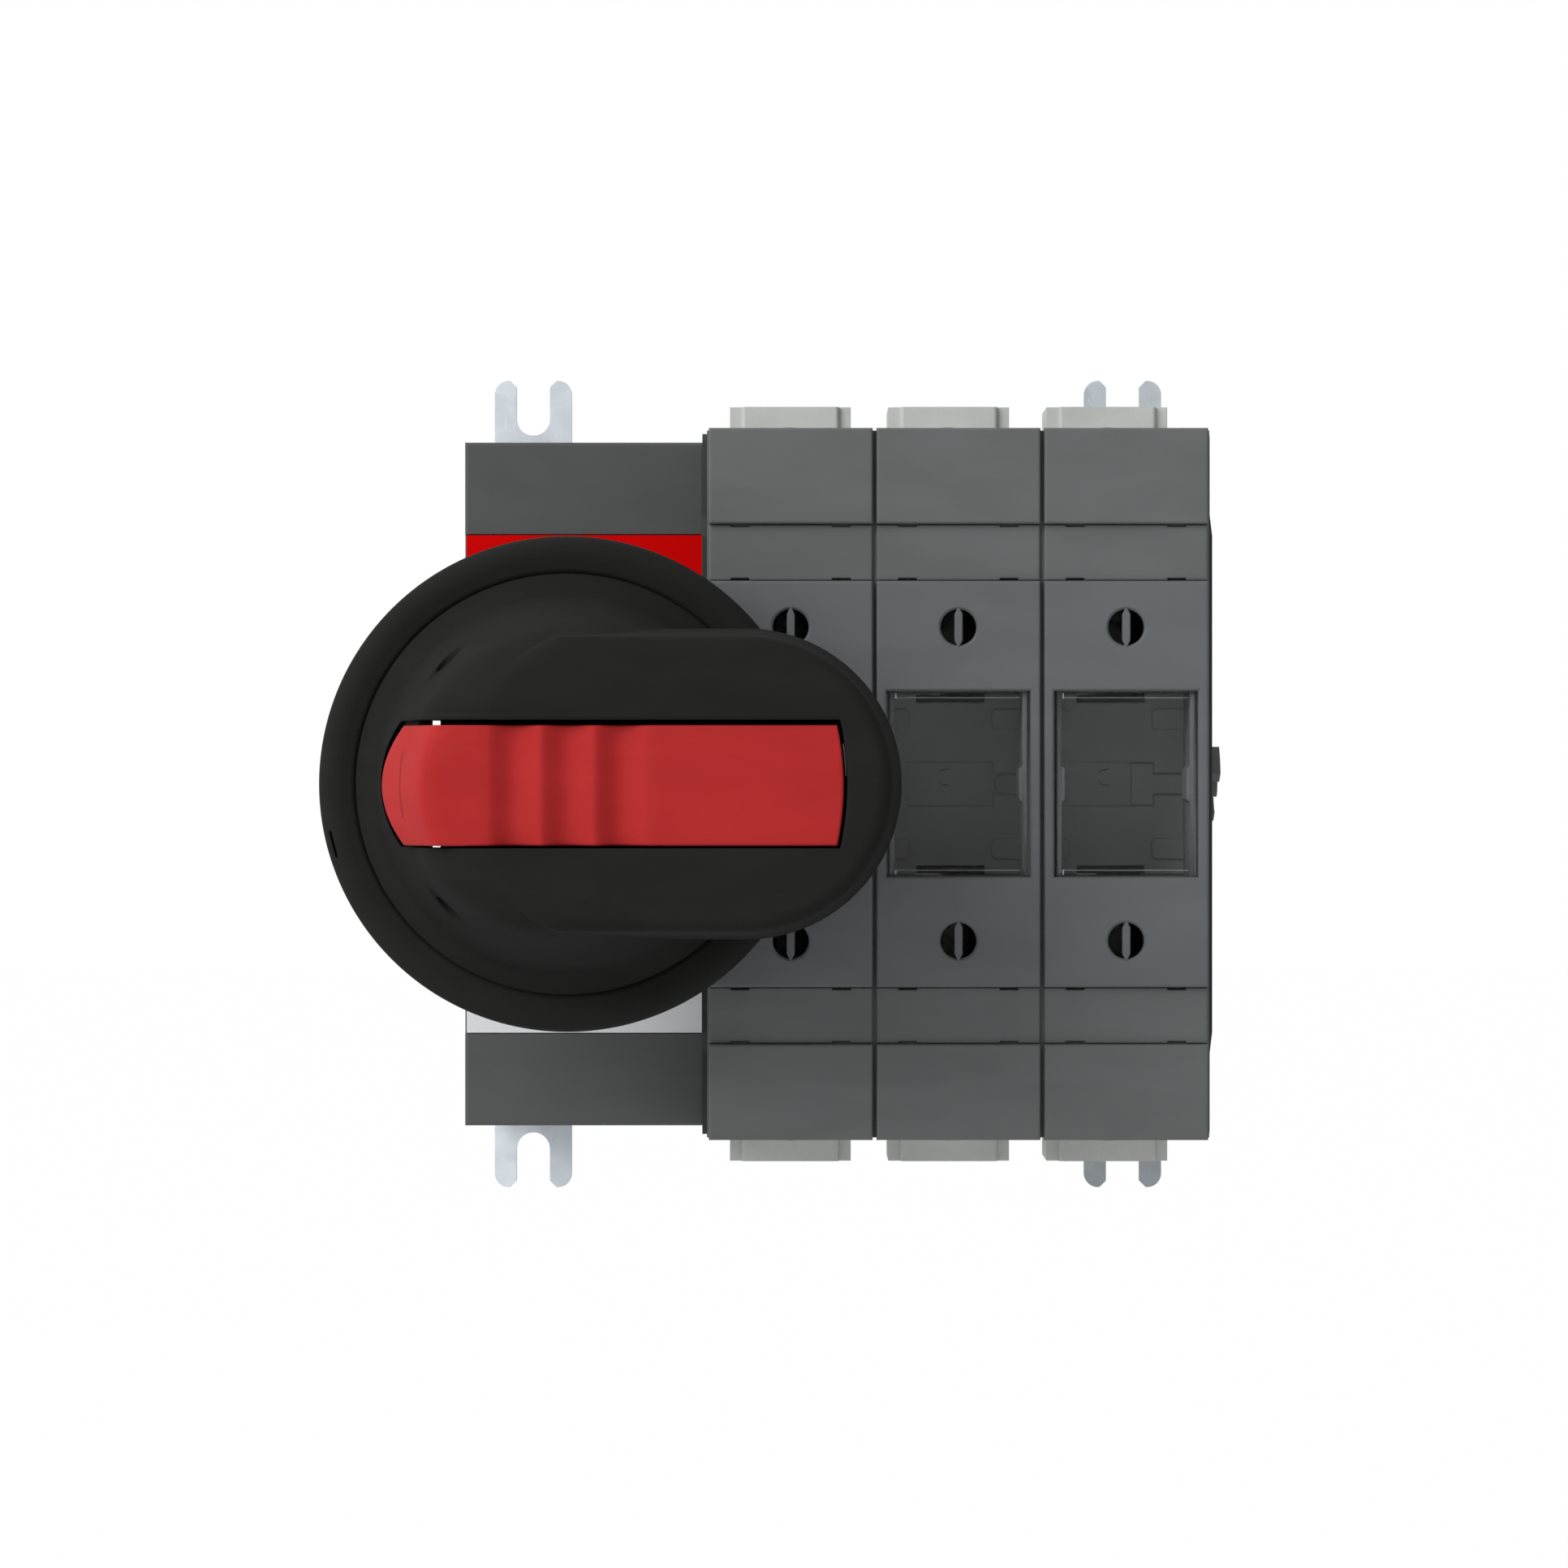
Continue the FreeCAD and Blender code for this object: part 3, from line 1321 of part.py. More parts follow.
def all_nodes():
    nodes = {
        "mounting_strap_left": mounting_strap(-strap_x),
        "mounting_strap_right": mounting_strap(strap_x),
        "strap_screws": strap_screws(),
        "mechanism_housing": mechanism_housing(),
        "mechanism_cover": mechanism_cover(),
        "front_panel": front_panel(),
        "front_label": front_label(),
        "spindle_hub": spindle_hub(),
        "snap_springs": snap_springs(),
        "drive_fork": drive_fork(),
        "cross_shaft": cross_shaft(),
        "shaft_coupler": shaft_coupler(),
        "moving_contacts": moving_contacts(),
        "end_plate_left": end_plate(pole_stack_left - plate_thickness, rotor_bore),
        "end_plate_right": end_plate(pole_stack_right, coupler_diameter / 2 + bearing_clearance),
        "tie_rods": tie_rods(),
        "terminal_bolts": terminal_bolts(),
        "terminal_nuts": terminal_nuts(),
        "jaw_springs": jaw_springs(),
        "interlock_slide": interlock_slide(),
        "handle_shaft": handle_shaft(),
        "handle_collar": handle_collar(),
        "collar_seal": collar_seal(),
        "disc_retainer": disc_retainer(),
        "handle_grip": handle_grip(),
        "lock_slide": lock_slide(),
        "lock_spring": lock_spring(),
    }
    for pole in range(pole_count):
        number = pole + 1
        nodes[f"pole_base_{number}"] = pole_base(pole)
        nodes[f"pole_housing_{number}"] = pole_housing(pole)
        nodes[f"fuse_cover_{number}"] = fuse_cover(pole)
        nodes[f"fuse_window_{number}"] = fuse_window(pole)
        nodes[f"contact_rotor_{number}"] = contact_rotor(pole)
        for top, place in ((True, "top"), (False, "bottom")):
            nodes[f"terminal_cover_{place}_{number}"] = terminal_cover(pole, top)
            nodes[f"terminal_bar_{place}_{number}"] = terminal_bar(pole, top)
            nodes[f"fuse_jaw_{place}_{number}"] = fuse_jaw(pole, top)
    return nodes


os.makedirs("parts", exist_ok=True)
for name, shape in all_nodes().items():
    shape.exportStep(f"parts/{name}.step")
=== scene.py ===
"""A three-pole fuse switch disconnector with a padlockable pistol handle, dressed for rendering.
Metres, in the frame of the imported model: X right, Y into the mounting panel, Z up."""

import math

import bmesh
import bpy
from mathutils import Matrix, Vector
from mathutils.geometry import tessellate_polygon


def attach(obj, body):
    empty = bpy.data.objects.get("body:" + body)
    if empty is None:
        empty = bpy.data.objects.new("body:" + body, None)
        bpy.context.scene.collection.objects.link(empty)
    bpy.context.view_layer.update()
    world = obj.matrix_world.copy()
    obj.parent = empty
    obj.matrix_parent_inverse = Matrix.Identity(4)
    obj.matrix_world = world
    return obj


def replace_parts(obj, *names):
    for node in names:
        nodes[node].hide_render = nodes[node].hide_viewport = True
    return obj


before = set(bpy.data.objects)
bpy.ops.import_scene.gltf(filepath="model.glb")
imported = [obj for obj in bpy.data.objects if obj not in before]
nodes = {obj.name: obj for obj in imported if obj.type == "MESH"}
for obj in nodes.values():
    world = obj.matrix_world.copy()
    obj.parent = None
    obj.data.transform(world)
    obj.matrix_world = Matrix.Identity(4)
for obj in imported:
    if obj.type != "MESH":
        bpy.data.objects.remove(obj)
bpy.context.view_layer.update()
scene = bpy.context.scene
scene.view_settings.view_transform = "Standard"

# The stand.
# A square front view from a metre away, a white studio and a pale floor well below the
# device, which hangs as it does on its panel. One soft lamp stands to the upper left.

camera_data = bpy.data.cameras.new("camera")
camera_data.lens = 110.1
camera_data.sensor_width = 36.0
camera_data.clip_start = 0.05
camera = bpy.data.objects.new("camera", camera_data)
camera.location = (-0.0102, -1.115, 0.0)
camera.rotation_euler = (math.radians(90), 0, 0)
scene.collection.objects.link(camera)
scene.camera = camera


class Wire:
    """An output socket of a shader's nodes. Sums and products of wires add Math nodes."""

    def __init__(self, socket):
        self.socket = socket

    def node(self, kind, settings=None, inputs=None, output=0):
        """A new node of the same shader: its settings first, then its sockets' values or wires."""
        tree = self.socket.id_data
        made = tree.nodes.new(kind)
        for name, value in (settings or {}).items():
            setattr(made, name, value)
        for name, value in (inputs or {}).items():
            if isinstance(value, Wire):
                tree.links.new(value.socket, made.inputs[name])
            else:
                made.inputs[name].default_value = value
        return Wire(made.outputs[output]) if made.outputs else made

    def math(self, operation, first, second=0.0, clamp=False):
        settings = {"operation": operation, "use_clamp": clamp}
        return self.node("ShaderNodeMath", settings, {0: first, 1: second})

    def __add__(self, other):
        return self.math("ADD", self, other)

    def __radd__(self, other):
        return self.math("ADD", other, self)

    def __sub__(self, other):
        return self.math("SUBTRACT", self, other)

    def __rsub__(self, other):
        return self.math("SUBTRACT", other, self)

    def __mul__(self, other):
        return self.math("MULTIPLY", self, other)

    def __rmul__(self, other):
        return self.math("MULTIPLY", other, self)

    def clipped(self):
        """The value kept between 0 and 1."""
        return self.math("ADD", self, 0.0, clamp=True)

    def above(self, low, high):
        """0 where the value is under low, 1 over high, and smooth between."""
        settings = {"interpolation_type": "SMOOTHSTEP"}
        return self.node("ShaderNodeMapRange", settings, {0: self, 1: low, 2: high})

    def blend(self, first, second):
        """A colour that goes from the first to the second as this value goes from 0 to 1."""
        return self.node("ShaderNodeMix", {"data_type": "RGBA"}, {0: self, 6: first, 7: second}, 2)

    def merge(self, first, second):
        """A vector that goes from the first to the second as this value goes from 0 to 1."""
        return self.node("ShaderNodeMix", {"data_type": "VECTOR"}, {0: self, 4: first, 5: second}, 1)

    def part(self, axis):
        """The X, Y or Z part, 0 to 2, of a vector."""
        return self.node("ShaderNodeSeparateXYZ", {}, {0: self}, axis)

    def size(self):
        """The value without its sign."""
        return self.math("ABSOLUTE", self)

    def scaled(self, factor):
        """A colour or a vector times a number."""
        return self.node("ShaderNodeVectorMath", {"operation": "SCALE"}, {0: self, "Scale": factor})


def shown(red, green, blue):
    """The linear colour that is seen as these 0 to 255 values."""
    linear = [(c / 255 / 12.92 if c / 255 <= 0.04045 else ((c / 255 + 0.055) / 1.055) ** 2.4)
              for c in (red, green, blue)]
    return (*linear, 1.0)


white = (1.0, 1.0, 1.0, 1.0)
world = bpy.data.worlds.new("studio")
scene.world = world
world.use_nodes = True
world.node_tree.nodes.clear()
straight = Wire(world.node_tree.nodes.new("ShaderNodeLightPath").outputs["Is Camera Ray"])
mirrored = Wire(straight.socket.node.outputs["Is Glossy Ray"])
through = Wire(straight.socket.node.outputs["Is Transmission Ray"])
seen = (straight + mirrored + through).clipped()
towards = seen.node("ShaderNodeTexCoord", {}, {}, "Generated")
to_right, upward = towards.part(0), towards.part(2)
soft_light = 0.5 - to_right * 0.4 + upward * 0.2
sky = upward.above(-0.9, 0.9).blend(shown(255, 249, 242), shown(250, 252, 255)).scaled(soft_light)
air = seen.node("ShaderNodeBackground", {}, {0: seen.blend(sky, white)})
seen.node("ShaderNodeOutputWorld", {}, {0: air})

floor_level = -0.27
floor_half = 6.0
floor_glow = 0.99
floor_mesh = bpy.data.meshes.new("floor")
floor_corners = [(-floor_half, -floor_half, floor_level), (floor_half, -floor_half, floor_level),
                 (floor_half, floor_half, floor_level), (-floor_half, floor_half, floor_level)]
floor_mesh.from_pydata(floor_corners, [], [(0, 1, 2, 3)])
floor = bpy.data.objects.new("floor", floor_mesh)
scene.collection.objects.link(floor)
floor_paint = bpy.data.materials.new("floor_paint")
floor_paint.use_nodes = True
floor_paint.node_tree.nodes.clear()
rays = Wire(floor_paint.node_tree.nodes.new("ShaderNodeLightPath").outputs["Is Camera Ray"])
matt = rays.node("ShaderNodeBsdfDiffuse", {}, {0: shown(236, 236, 236)})
glow = rays.node("ShaderNodeEmission", {}, {0: white, 1: 1.0})
lit = rays.node("ShaderNodeMixShader", {}, {0: rays * floor_glow, 1: matt, 2: glow})
back = rays.node("ShaderNodeNewGeometry", {}, {}, "Backfacing")
clear = rays.node("ShaderNodeBsdfTransparent")
one_sided = rays.node("ShaderNodeMixShader", {}, {0: back, 1: lit, 2: clear})
rays.node("ShaderNodeOutputMaterial", {}, {0: one_sided})
floor_mesh.materials.append(floor_paint)

lamp_place = Vector((-1.5, -1.7, 1.3))
device_middle = Vector((0.0, -0.06, 0.0))
lamp_data = bpy.data.lights.new("key", "AREA")
lamp_data.shape = "SQUARE"
lamp_data.size = 1.5
lamp_data.energy = 43.0
lamp = bpy.data.objects.new("key", lamp_data)
lamp.location = lamp_place
lamp.rotation_euler = (device_middle - lamp_place).to_track_quat("-Z", "Y").to_euler()
scene.collection.objects.link(lamp)


# Mounting straps.
# Two strips of 1.5 mm sheet steel, punched with an open slot at each end and bright zinc
# plated. Each is sunk in the back of the casings and held by two countersunk screws.

def new_finish(name):
    """An empty material and the wire of its object coordinates, in metres."""
    made = bpy.data.materials.new(name)
    made.use_nodes = True
    made.node_tree.nodes.clear()
    return made, Wire(made.node_tree.nodes.new("ShaderNodeTexCoord").outputs["Object"])


def noise(place, scale, detail=2.0, distortion=0.0):
    """A cloudy value between 0 and 1 at a place."""
    inputs = {"Vector": place, "Scale": scale, "Detail": detail, "Distortion": distortion}
    return place.node("ShaderNodeTexNoise", {}, inputs)


def stretched(place, x, y, z):
    """A place counted in steps of its own along each axis."""
    return place.node("ShaderNodeVectorMath", {"operation": "MULTIPLY"}, {0: place, 1: (x, y, z)})


def bumped(relief, height, strength=1.0, normal=None):
    """The normal of a surface whose relief goes up to a height in metres."""
    inputs = {"Height": relief, "Distance": height, "Strength": strength}
    if normal is not None:
        inputs["Normal"] = normal
    return relief.node("ShaderNodeBump", {}, inputs)


def rounded(place, radius):
    """The normal of a piece whose sharp edges are broken by a radius in metres."""
    return place.node("ShaderNodeBevel", {"samples": 4}, {"Radius": radius})


def edges(normal):
    """1 along broken edges, from how far their normal leans from the flat faces' one."""
    flat = normal.node("ShaderNodeNewGeometry", {}, {}, "True Normal")
    lean = normal.node("ShaderNodeVectorMath", {"operation": "DOT_PRODUCT"}, {0: normal, 1: flat}, 1)
    return (1 - lean).above(0.01, 0.25)


def surface(finish, place, inputs):
    """A material closed with its surface shader."""
    shader = place.node("ShaderNodeBsdfPrincipled", {}, inputs)
    place.node("ShaderNodeOutputMaterial", {}, {0: shader})
    return finish


def plated_steel(name, light, dark, roughness, metallic=1.0, lower=1.0):
    """Zinc on steel: bluish blotches a few millimetres wide, rolling lines and tiny scuffs.
    Lower is the share of its tone that is left at the bottom, a painted shade."""
    finish, place = new_finish(name)
    blotches = noise(place, 130.0, 4.0, 0.6)
    rolled = noise(stretched(place, 3000.0, 3000.0, 60.0), 1.0, 2.0)
    scuffs = noise(stretched(place, 900.0, 900.0, 260.0), 1.0, 6.0, 1.5).above(0.62, 0.7)
    colour = blotches.above(0.3, 0.7).blend(dark, light)
    colour = (scuffs * 0.35).blend(colour, shown(236, 238, 240))
    # Painted shade: the tone fades darker towards the bottom.
    if lower < 1:
        colour = place.part(2).above(-0.07, 0.07).blend(colour.scaled(lower), colour)
    rough = roughness + (blotches - 0.5) * 0.16 + (rolled - 0.5) * 0.12
    normal = bumped(rolled + scuffs * 0.5, 0.000006, 0.6, rounded(place, 0.00015))
    return surface(finish, place, {"Base Color": colour, "Metallic": metallic, "Roughness": rough,
                                   "Normal": normal})


def dress(finish, *names):
    """Gives CAD nodes a finish."""
    for name in names:
        node = nodes[name]
        node.data.materials.clear()
        node.data.materials.append(finish)


zinc = plated_steel("zinc", shown(218, 225, 230), shown(202, 209, 215), 0.5, metallic=0.25)
dress(zinc, "mounting_strap_left")
# The right strap's darker tones, which fade darker still towards its bottom, are painted shade from the
# poles in front of it.
shaded_zinc = plated_steel("shaded_zinc", shown(193, 200, 205), shown(178, 185, 191), 0.5, metallic=0.25,
                         lower=0.75)
dress(shaded_zinc, "mounting_strap_right")


# Strap screws.
# Four countersunk screws of zinc-plated steel with a cross recess, driven into the casings
# from behind before the switch goes on its panel.

mm = 0.001
around = 48
rings_a_turn = 6
strap_middle, strap_screw_height = 68.4, 50.0
screw_head, screw_crest, screw_core, screw_pitch = 3.2, 1.75, 1.35, 1.4
screw_neck, screw_end, screw_tip = 2.0, 8.0, 9.0
screw_rim, screw_cone = 0.12, 1.42
recess_half, recess_reach, recess_depth = 0.55, 1.75, 1.5
recess_foot_half, recess_foot_reach = 0.4, 0.95


def ring(radius, along):
    """A ring of pairs of a radius and a place in millimetres, one for each step round the axis."""
    return [(radius, along)] * around


def thread(core, crest, start, end, pitch):
    """The rings of a screw thread, which fades out at its end."""
    steps = round(abs(end - start) / pitch * rings_a_turn)
    rings = []
    for step in range(steps + 1):
        along = start + (end - start) * step / steps
        depth = (crest - core) * min(1.0, (steps - step) / rings_a_turn)
        turns = [abs(2 * ((along / pitch + i / around) % 1.0) - 1) for i in range(around)]
        rings.append([(core + depth * turn, along) for turn in turns])
    return rings


def lathe(rings, axis, at):
    """Vertices and faces of rings about an axis, X or Y, through a place in millimetres."""
    vertices = []
    for one in rings:
        for i, (radius, along) in enumerate(one):
            turn = 2 * math.pi * i / around
            up, side = radius * math.cos(turn), radius * math.sin(turn)
            offset = (along, side, up) if axis == "X" else (side, along, up)
            vertices.append((Vector(at) + Vector(offset)) * mm)
    faces = [(k * around + i, k * around + (i + 1) % around, (k + 1) * around + (i + 1) % around,
              (k + 1) * around + i) for k in range(len(rings) - 1) for i in range(around)]
    return vertices, faces


def gather(name, shapes, finish, body):
    """One piece from several shapes, smooth but for its sharp edges, that rides on a body."""
    vertices, faces = [], []
    for points, sides in shapes:
        start = len(vertices)
        vertices += points
        faces += [tuple(start + i for i in side) for side in sides]
    mesh = bpy.data.meshes.new(name)
    mesh.from_pydata(vertices, [], faces)
    mesh.update()
    turned = bmesh.new()
    turned.from_mesh(mesh)
    bmesh.ops.recalc_face_normals(turned, faces=turned.faces)
    turned.to_mesh(mesh)
    turned.free()
    mesh.polygons.foreach_set("use_smooth", [True] * len(mesh.polygons))
    mesh.set_sharp_from_angle(angle=math.radians(32))
    mesh.materials.append(finish)
    piece = bpy.data.objects.new(name, mesh)
    scene.collection.objects.link(piece)
    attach(piece, body)
    return piece


def cross(half, reach, depth, at):
    """The outline of a cross recess at a depth."""
    corner = [(half, reach), (half, half), (reach, half), (reach, -half), (half, -half), (half, -reach)]
    outline = corner + [(-x, -z) for x, z in corner]
    return [Vector((at[0] + x, at[1] - depth, at[2] + z)) * mm for x, z in outline]


def cross_screw(at):
    """A countersunk screw that points to -Y, with its head's face at a place."""
    side = [ring(screw_head - 0.15, 0), ring(screw_head, -screw_rim)]
    side += [ring(screw_crest, -screw_cone), ring(screw_crest, -screw_neck)]
    side += thread(screw_core, screw_crest, -screw_neck, -screw_end, screw_pitch)
    side += [ring(0.4, -screw_tip)]
    body, faces = lathe(side, "Y", at)
    faces.append(tuple(range(len(body) - around, len(body))))
    rim, mouth = body[:around], cross(recess_half, recess_reach, 0, at)
    bottom = cross(recess_foot_half, recess_foot_reach, recess_depth, at)
    head = [tuple(t) for t in tessellate_polygon([rim, mouth])]
    corners = len(mouth)
    walls = [(i, (i + 1) % corners, corners + (i + 1) % corners, corners + i) for i in range(corners)]
    floor = [tuple(corners + i for i in t) for t in tessellate_polygon([bottom])]
    return [(body, faces), (rim + mouth, head), (mouth + bottom, walls + floor)]


screw_zinc = plated_steel("screw_zinc", shown(214, 212, 200), shown(188, 186, 172), 0.34)
screws = []
for x in (-strap_middle, strap_middle):
    for z in (-strap_screw_height, strap_screw_height):
        screws += cross_screw((x, 0, z))
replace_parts(gather("strap_cross_screws", screws, screw_zinc, "frame"), "strap_screws")


# Pole bases.
# The rear half of each pole, injection moulded in light grey glass-filled polyester, with
# the two supports that carry the terminals standing out above and below.

painted_light_gain = 3.0


def moulded(name, light, dark, roughness, specular, grain=0.00001, fibre=0.0, edge=0.0003,
            wear=0.3, inner=None, melted=None, painted_groove_shade=None):
    """A moulded plastic: eroded grain, faint flow marks and rubbed edges.
    Inner gives where painted light makes it paler, melted where its edges run into each other, and
    painted_groove_shade where a groove's painted shade makes a fine dark line."""
    finish, place = new_finish(name)
    pits = noise(place, 5200.0, 2.0)
    flow = noise(stretched(place, 34.0, 34.0, 90.0), 1.0, 3.0, 0.8)
    handled = noise(place, 70.0, 5.0, 0.4)
    broken = rounded(place, edge)
    worn = edges(broken) * handled.above(0.42, 0.66) * wear
    colour = flow.above(0.3, 0.7).blend(dark, light)
    pale = tuple(min(1.0, c * 1.35 + 0.01) for c in light[:3]) + (1.0,)
    # Painted light: the colour is made paler where this mask is 1.
    if inner:
        colour = inner(place).blend(colour, tuple(c * painted_light_gain for c in light[:3]) + (1.0,))
    # Painted shade: a groove's shade laid on as a dark red line.
    if painted_groove_shade:
        colour = (painted_groove_shade(place) * 0.35).blend(colour, shown(40, 10, 10))
    if melted:
        broken = melted(place).merge(broken, rounded(place, 0.005))
    colour = worn.blend(colour, pale)
    if fibre:
        strands = noise(stretched(place, 5000.0, 600.0, 600.0), 1.0, 3.0, 0.5).above(0.6, 0.72)
        colour = (strands * fibre).blend(colour, pale)
    rough = roughness + (handled - 0.5) * 0.16 + (pits - 0.5) * 0.1 - worn * 0.4
    normal = bumped(pits, grain, 0.8, broken)
    return surface(finish, place, {"Base Color": colour, "Roughness": rough, "Normal": normal,
                                   "Specular IOR Level": specular})


first_pole, pole_pitch = -8.8, 35.0
poles = (1, 2, 3)
pole_middles = [first_pole + pole_pitch * (pole - 1) for pole in poles]
light_moulding = moulded("light_moulding", shown(201, 203, 200), shown(193, 195, 191), 0.5, 0.3,
                         fibre=0.25)
for pole in poles:
    dress(light_moulding, f"pole_base_{pole}")


# Pole housings and terminal covers.
# The dark grey shells of the fuse rooms and the caps over the terminals, moulded in
# glass-filled polyamide and snapped on the bases.

room_half, room_front, room_back = 0.0194, -0.108, -0.05


def fuse_room_painted_light(place):
    """1 inside the fuse rooms, where light is painted in as a paler tone."""
    beyond = place.part(2).size().above(room_half, room_half + 0.0004)
    deep = place.part(1).above(room_front, room_front + 0.008)
    return (1 - beyond) * (deep * (room_back - place.part(1)).above(0.0, 0.004))


housing_light, housing_dark = shown(97, 98, 98), shown(92, 93, 93)
# Inside the fuse rooms the shells take three times their light tone, a painted light that stands for the
# light falling in through the windows.
room_moulding = moulded("room_moulding", housing_light, housing_dark, 0.55, 0.28, edge=0.0005,
                        inner=fuse_room_painted_light)
dark_moulding = moulded("dark_moulding", housing_light, housing_dark, 0.55, 0.28, edge=0.0005)
for pole in poles:
    dress(room_moulding, f"pole_housing_{pole}")
    dress(dark_moulding, f"terminal_cover_top_{pole}", f"terminal_cover_bottom_{pole}")
dress(room_moulding, "interlock_slide")


# Room marks.
# Two fine curved marks stand off the floor of each fuse room by less than a tenth of a
# millimetre, moulded with it. Their dark tone is painted shade, the shade of fine grooves.
# The lower one is the upper one upside down.

mark_front, mark_back = -65.56, -65.45
mark_half = 0.08
mark_turn = 2.94
upper_mark = ((-2.48, 2.5), (-2.1, 2.86), (-1.6, 3.08), (-0.9, 3.1), (-0.5, 3.2), (-0.17, 3.5))
lower_mark = tuple((x, mark_turn - z) for x, z in upper_mark)


def slab(outline, front, back):
    """Vertices of an outline at two depths in millimetres, and the faces of its sides."""
    points = [Vector((x, y, z)) * mm for y in (front, back) for x, z in outline]
    count = len(outline)
    sides = [(i, (i + 1) % count, count + (i + 1) % count, count + i) for i in range(count)]
    return points, sides


marks = []
for middle in pole_middles:
    for mark in (upper_mark, lower_mark):
        outline = [(middle + x, z + mark_half) for x, z in mark]
        outline += [(middle + x, z - mark_half) for x, z in mark[::-1]]
        points, sides = slab(outline, mark_front, mark_back)
        count = len(outline)
        strips = [(i, i + 1, count - 2 - i, count - 1 - i) for i in range(len(mark) - 1)]
        marks.append((points, strips + [tuple(count + i for i in strip) for strip in strips] + sides))
# Dark tone: painted shade of fine grooves.
mark_painted_shade = moulded("mark_painted_shade", shown(66, 66, 65), shown(60, 60, 59), 0.6, 0.1)
gather("room_marks", marks, mark_painted_shade, "frame")


# Fuse covers and windows.
# A lift-off cap over each fuse with test holes and a clear polycarbonate window, clipped in.

cover_moulding = moulded("cover_moulding", shown(96, 97, 98), shown(92, 93, 94), 0.52, 0.28,
                         edge=0.0005)
clear_pane, pane_place = new_finish("clear_pane")
facing = pane_place.node("ShaderNodeNewGeometry", {}, {}, "True Normal")
front_facing = facing.part(1).size()
haze = noise(pane_place, 260.0, 3.0)
# The pane's side faces are made more opaque in pale grey, a painted glint along its edges; the haze is
# the polycarbonate's own.
opacity_with_edge_glint = 0.015 + (1 - front_facing).above(0.3, 0.8) * 0.15 + haze * 0.02
surface(clear_pane, pane_place, {"Base Color": shown(166, 167, 165), "Roughness": 0.06 + haze * 0.05,
                                 "Alpha": opacity_with_edge_glint, "Specular IOR Level": 0.3})
for pole in poles:
    dress(cover_moulding, f"fuse_cover_{pole}")
    dress(clear_pane, f"fuse_window_{pole}")


# Window ribs.
# The window is held by a frame of fine moulded ribs inside its front, with a short end tick at
# each left corner. Their pale, half-opaque tone is a painted glint: the light that the clear ribs catch.

# Painted glint: pale and half opaque, unlike the clear pane.
rib_painted_glint, rib_place = new_finish("rib_painted_glint")
glint = noise(stretched(rib_place, 60.0, 60.0, 900.0), 1.0, 2.0)
surface(rib_painted_glint, rib_place, {"Base Color": shown(214, 217, 215), "Roughness": 0.25 + glint * 0.2,
                               "Alpha": 0.45 + glint * 0.2, "Specular IOR Level": 0.4})
rib_front, rib_back = -113.05, -112.6
rib, end_tick = (-12.95, 13.1, 17.97, 18.03), (-13.2, -12.9, 17.9, 19.0)
for pole, middle in zip(poles, pole_middles):
    ribs = []
    for way in (-1, 1):
        for left, right, low, high in (rib, end_tick):
            corners = ((left, low), (right, low), (right, high), (left, high))
            outline = [(middle + x, way * z) for x, z in corners]
            points, sides = slab(outline, rib_front, rib_back)
            ribs.append((points, [(0, 1, 2, 3), (4, 5, 6, 7)] + sides))
    gather(f"window_ribs_{pole}", ribs, rib_painted_glint, f"cover_{pole}")


# Terminals, jaws and contacts.
# Tin-plated copper bars that take the cables, silver-plated copper jaws for the fuse's
# blades with steel springs beside them, and the moving contacts on the cross shaft.

def plated_copper(name, light, dark, roughness):
    """A soft metal plating with polishing lines, dull spots and a warm tone where it is thin."""
    finish, place = new_finish(name)
    lines = noise(stretched(place, 300.0, 4000.0, 4000.0), 1.0, 3.0)
    spots = noise(place, 240.0, 5.0, 0.8).above(0.45, 0.72)
    broken = rounded(place, 0.00025)
    thin = edges(broken)
    colour = spots.blend(light, dark)
    colour = (thin * 0.3).blend(colour, shown(214, 160, 120))
    rough = roughness + spots * 0.14 + (lines - 0.5) * 0.12
    return surface(finish, place, {"Base Color": colour, "Metallic": 1.0, "Roughness": rough,
                                   "Normal": bumped(lines, 0.000004, 0.5, broken)})


tinned = plated_copper("tinned", shown(205, 204, 198), shown(180, 178, 170), 0.36)
# The jaws' silver plating is toned far darker than bright silver, a painted shade that stands for the
# dark inside the test holes; the moving contacts wear the same tone.
silvered = plated_copper("silvered", shown(104, 103, 101), shown(66, 65, 63), 0.55)
spring_steel = plated_steel("spring_steel", shown(112, 113, 116), shown(84, 86, 90), 0.45)
for pole in poles:
    for end in ("top", "bottom"):
        dress(tinned, f"terminal_bar_{end}_{pole}")
        dress(silvered, f"fuse_jaw_{end}_{pole}")
dress(spring_steel, "jaw_springs", "snap_springs")
dress(screw_zinc, "terminal_nuts", "handle_shaft")
dress(silvered, "moving_contacts")


# Mechanism.
# The cross shaft with its rotors, fork and end coupling, worked by the crank on the
# handle's shaft, in a dark casing of two halves with a light panel and a bare red field.

shaft_steel = plated_steel("shaft_steel", shown(172, 174, 176), shown(150, 152, 155), 0.34)
dress(shaft_steel, "cross_shaft", "drive_fork", "spindle_hub")
rotor_moulding = moulded("rotor_moulding", shown(176, 178, 176), shown(164, 166, 163), 0.45, 0.4)
for pole in poles:
    dress(rotor_moulding, f"contact_rotor_{pole}")
coupler_moulding = moulded("coupler_moulding", shown(98, 99, 99), shown(90, 91, 91), 0.5, 0.3)
dress(coupler_moulding, "shaft_coupler")
casing_moulding = moulded("casing_moulding", shown(77, 78, 78), shown(73, 74, 74), 0.55, 0.28)
dress(casing_moulding, "mechanism_housing", "mechanism_cover")
panel_moulding = moulded("panel_moulding", shown(216, 219, 219), shown(211, 214, 214), 0.45, 0.3,
                         grain=0.000005)
dress(panel_moulding, "front_panel")
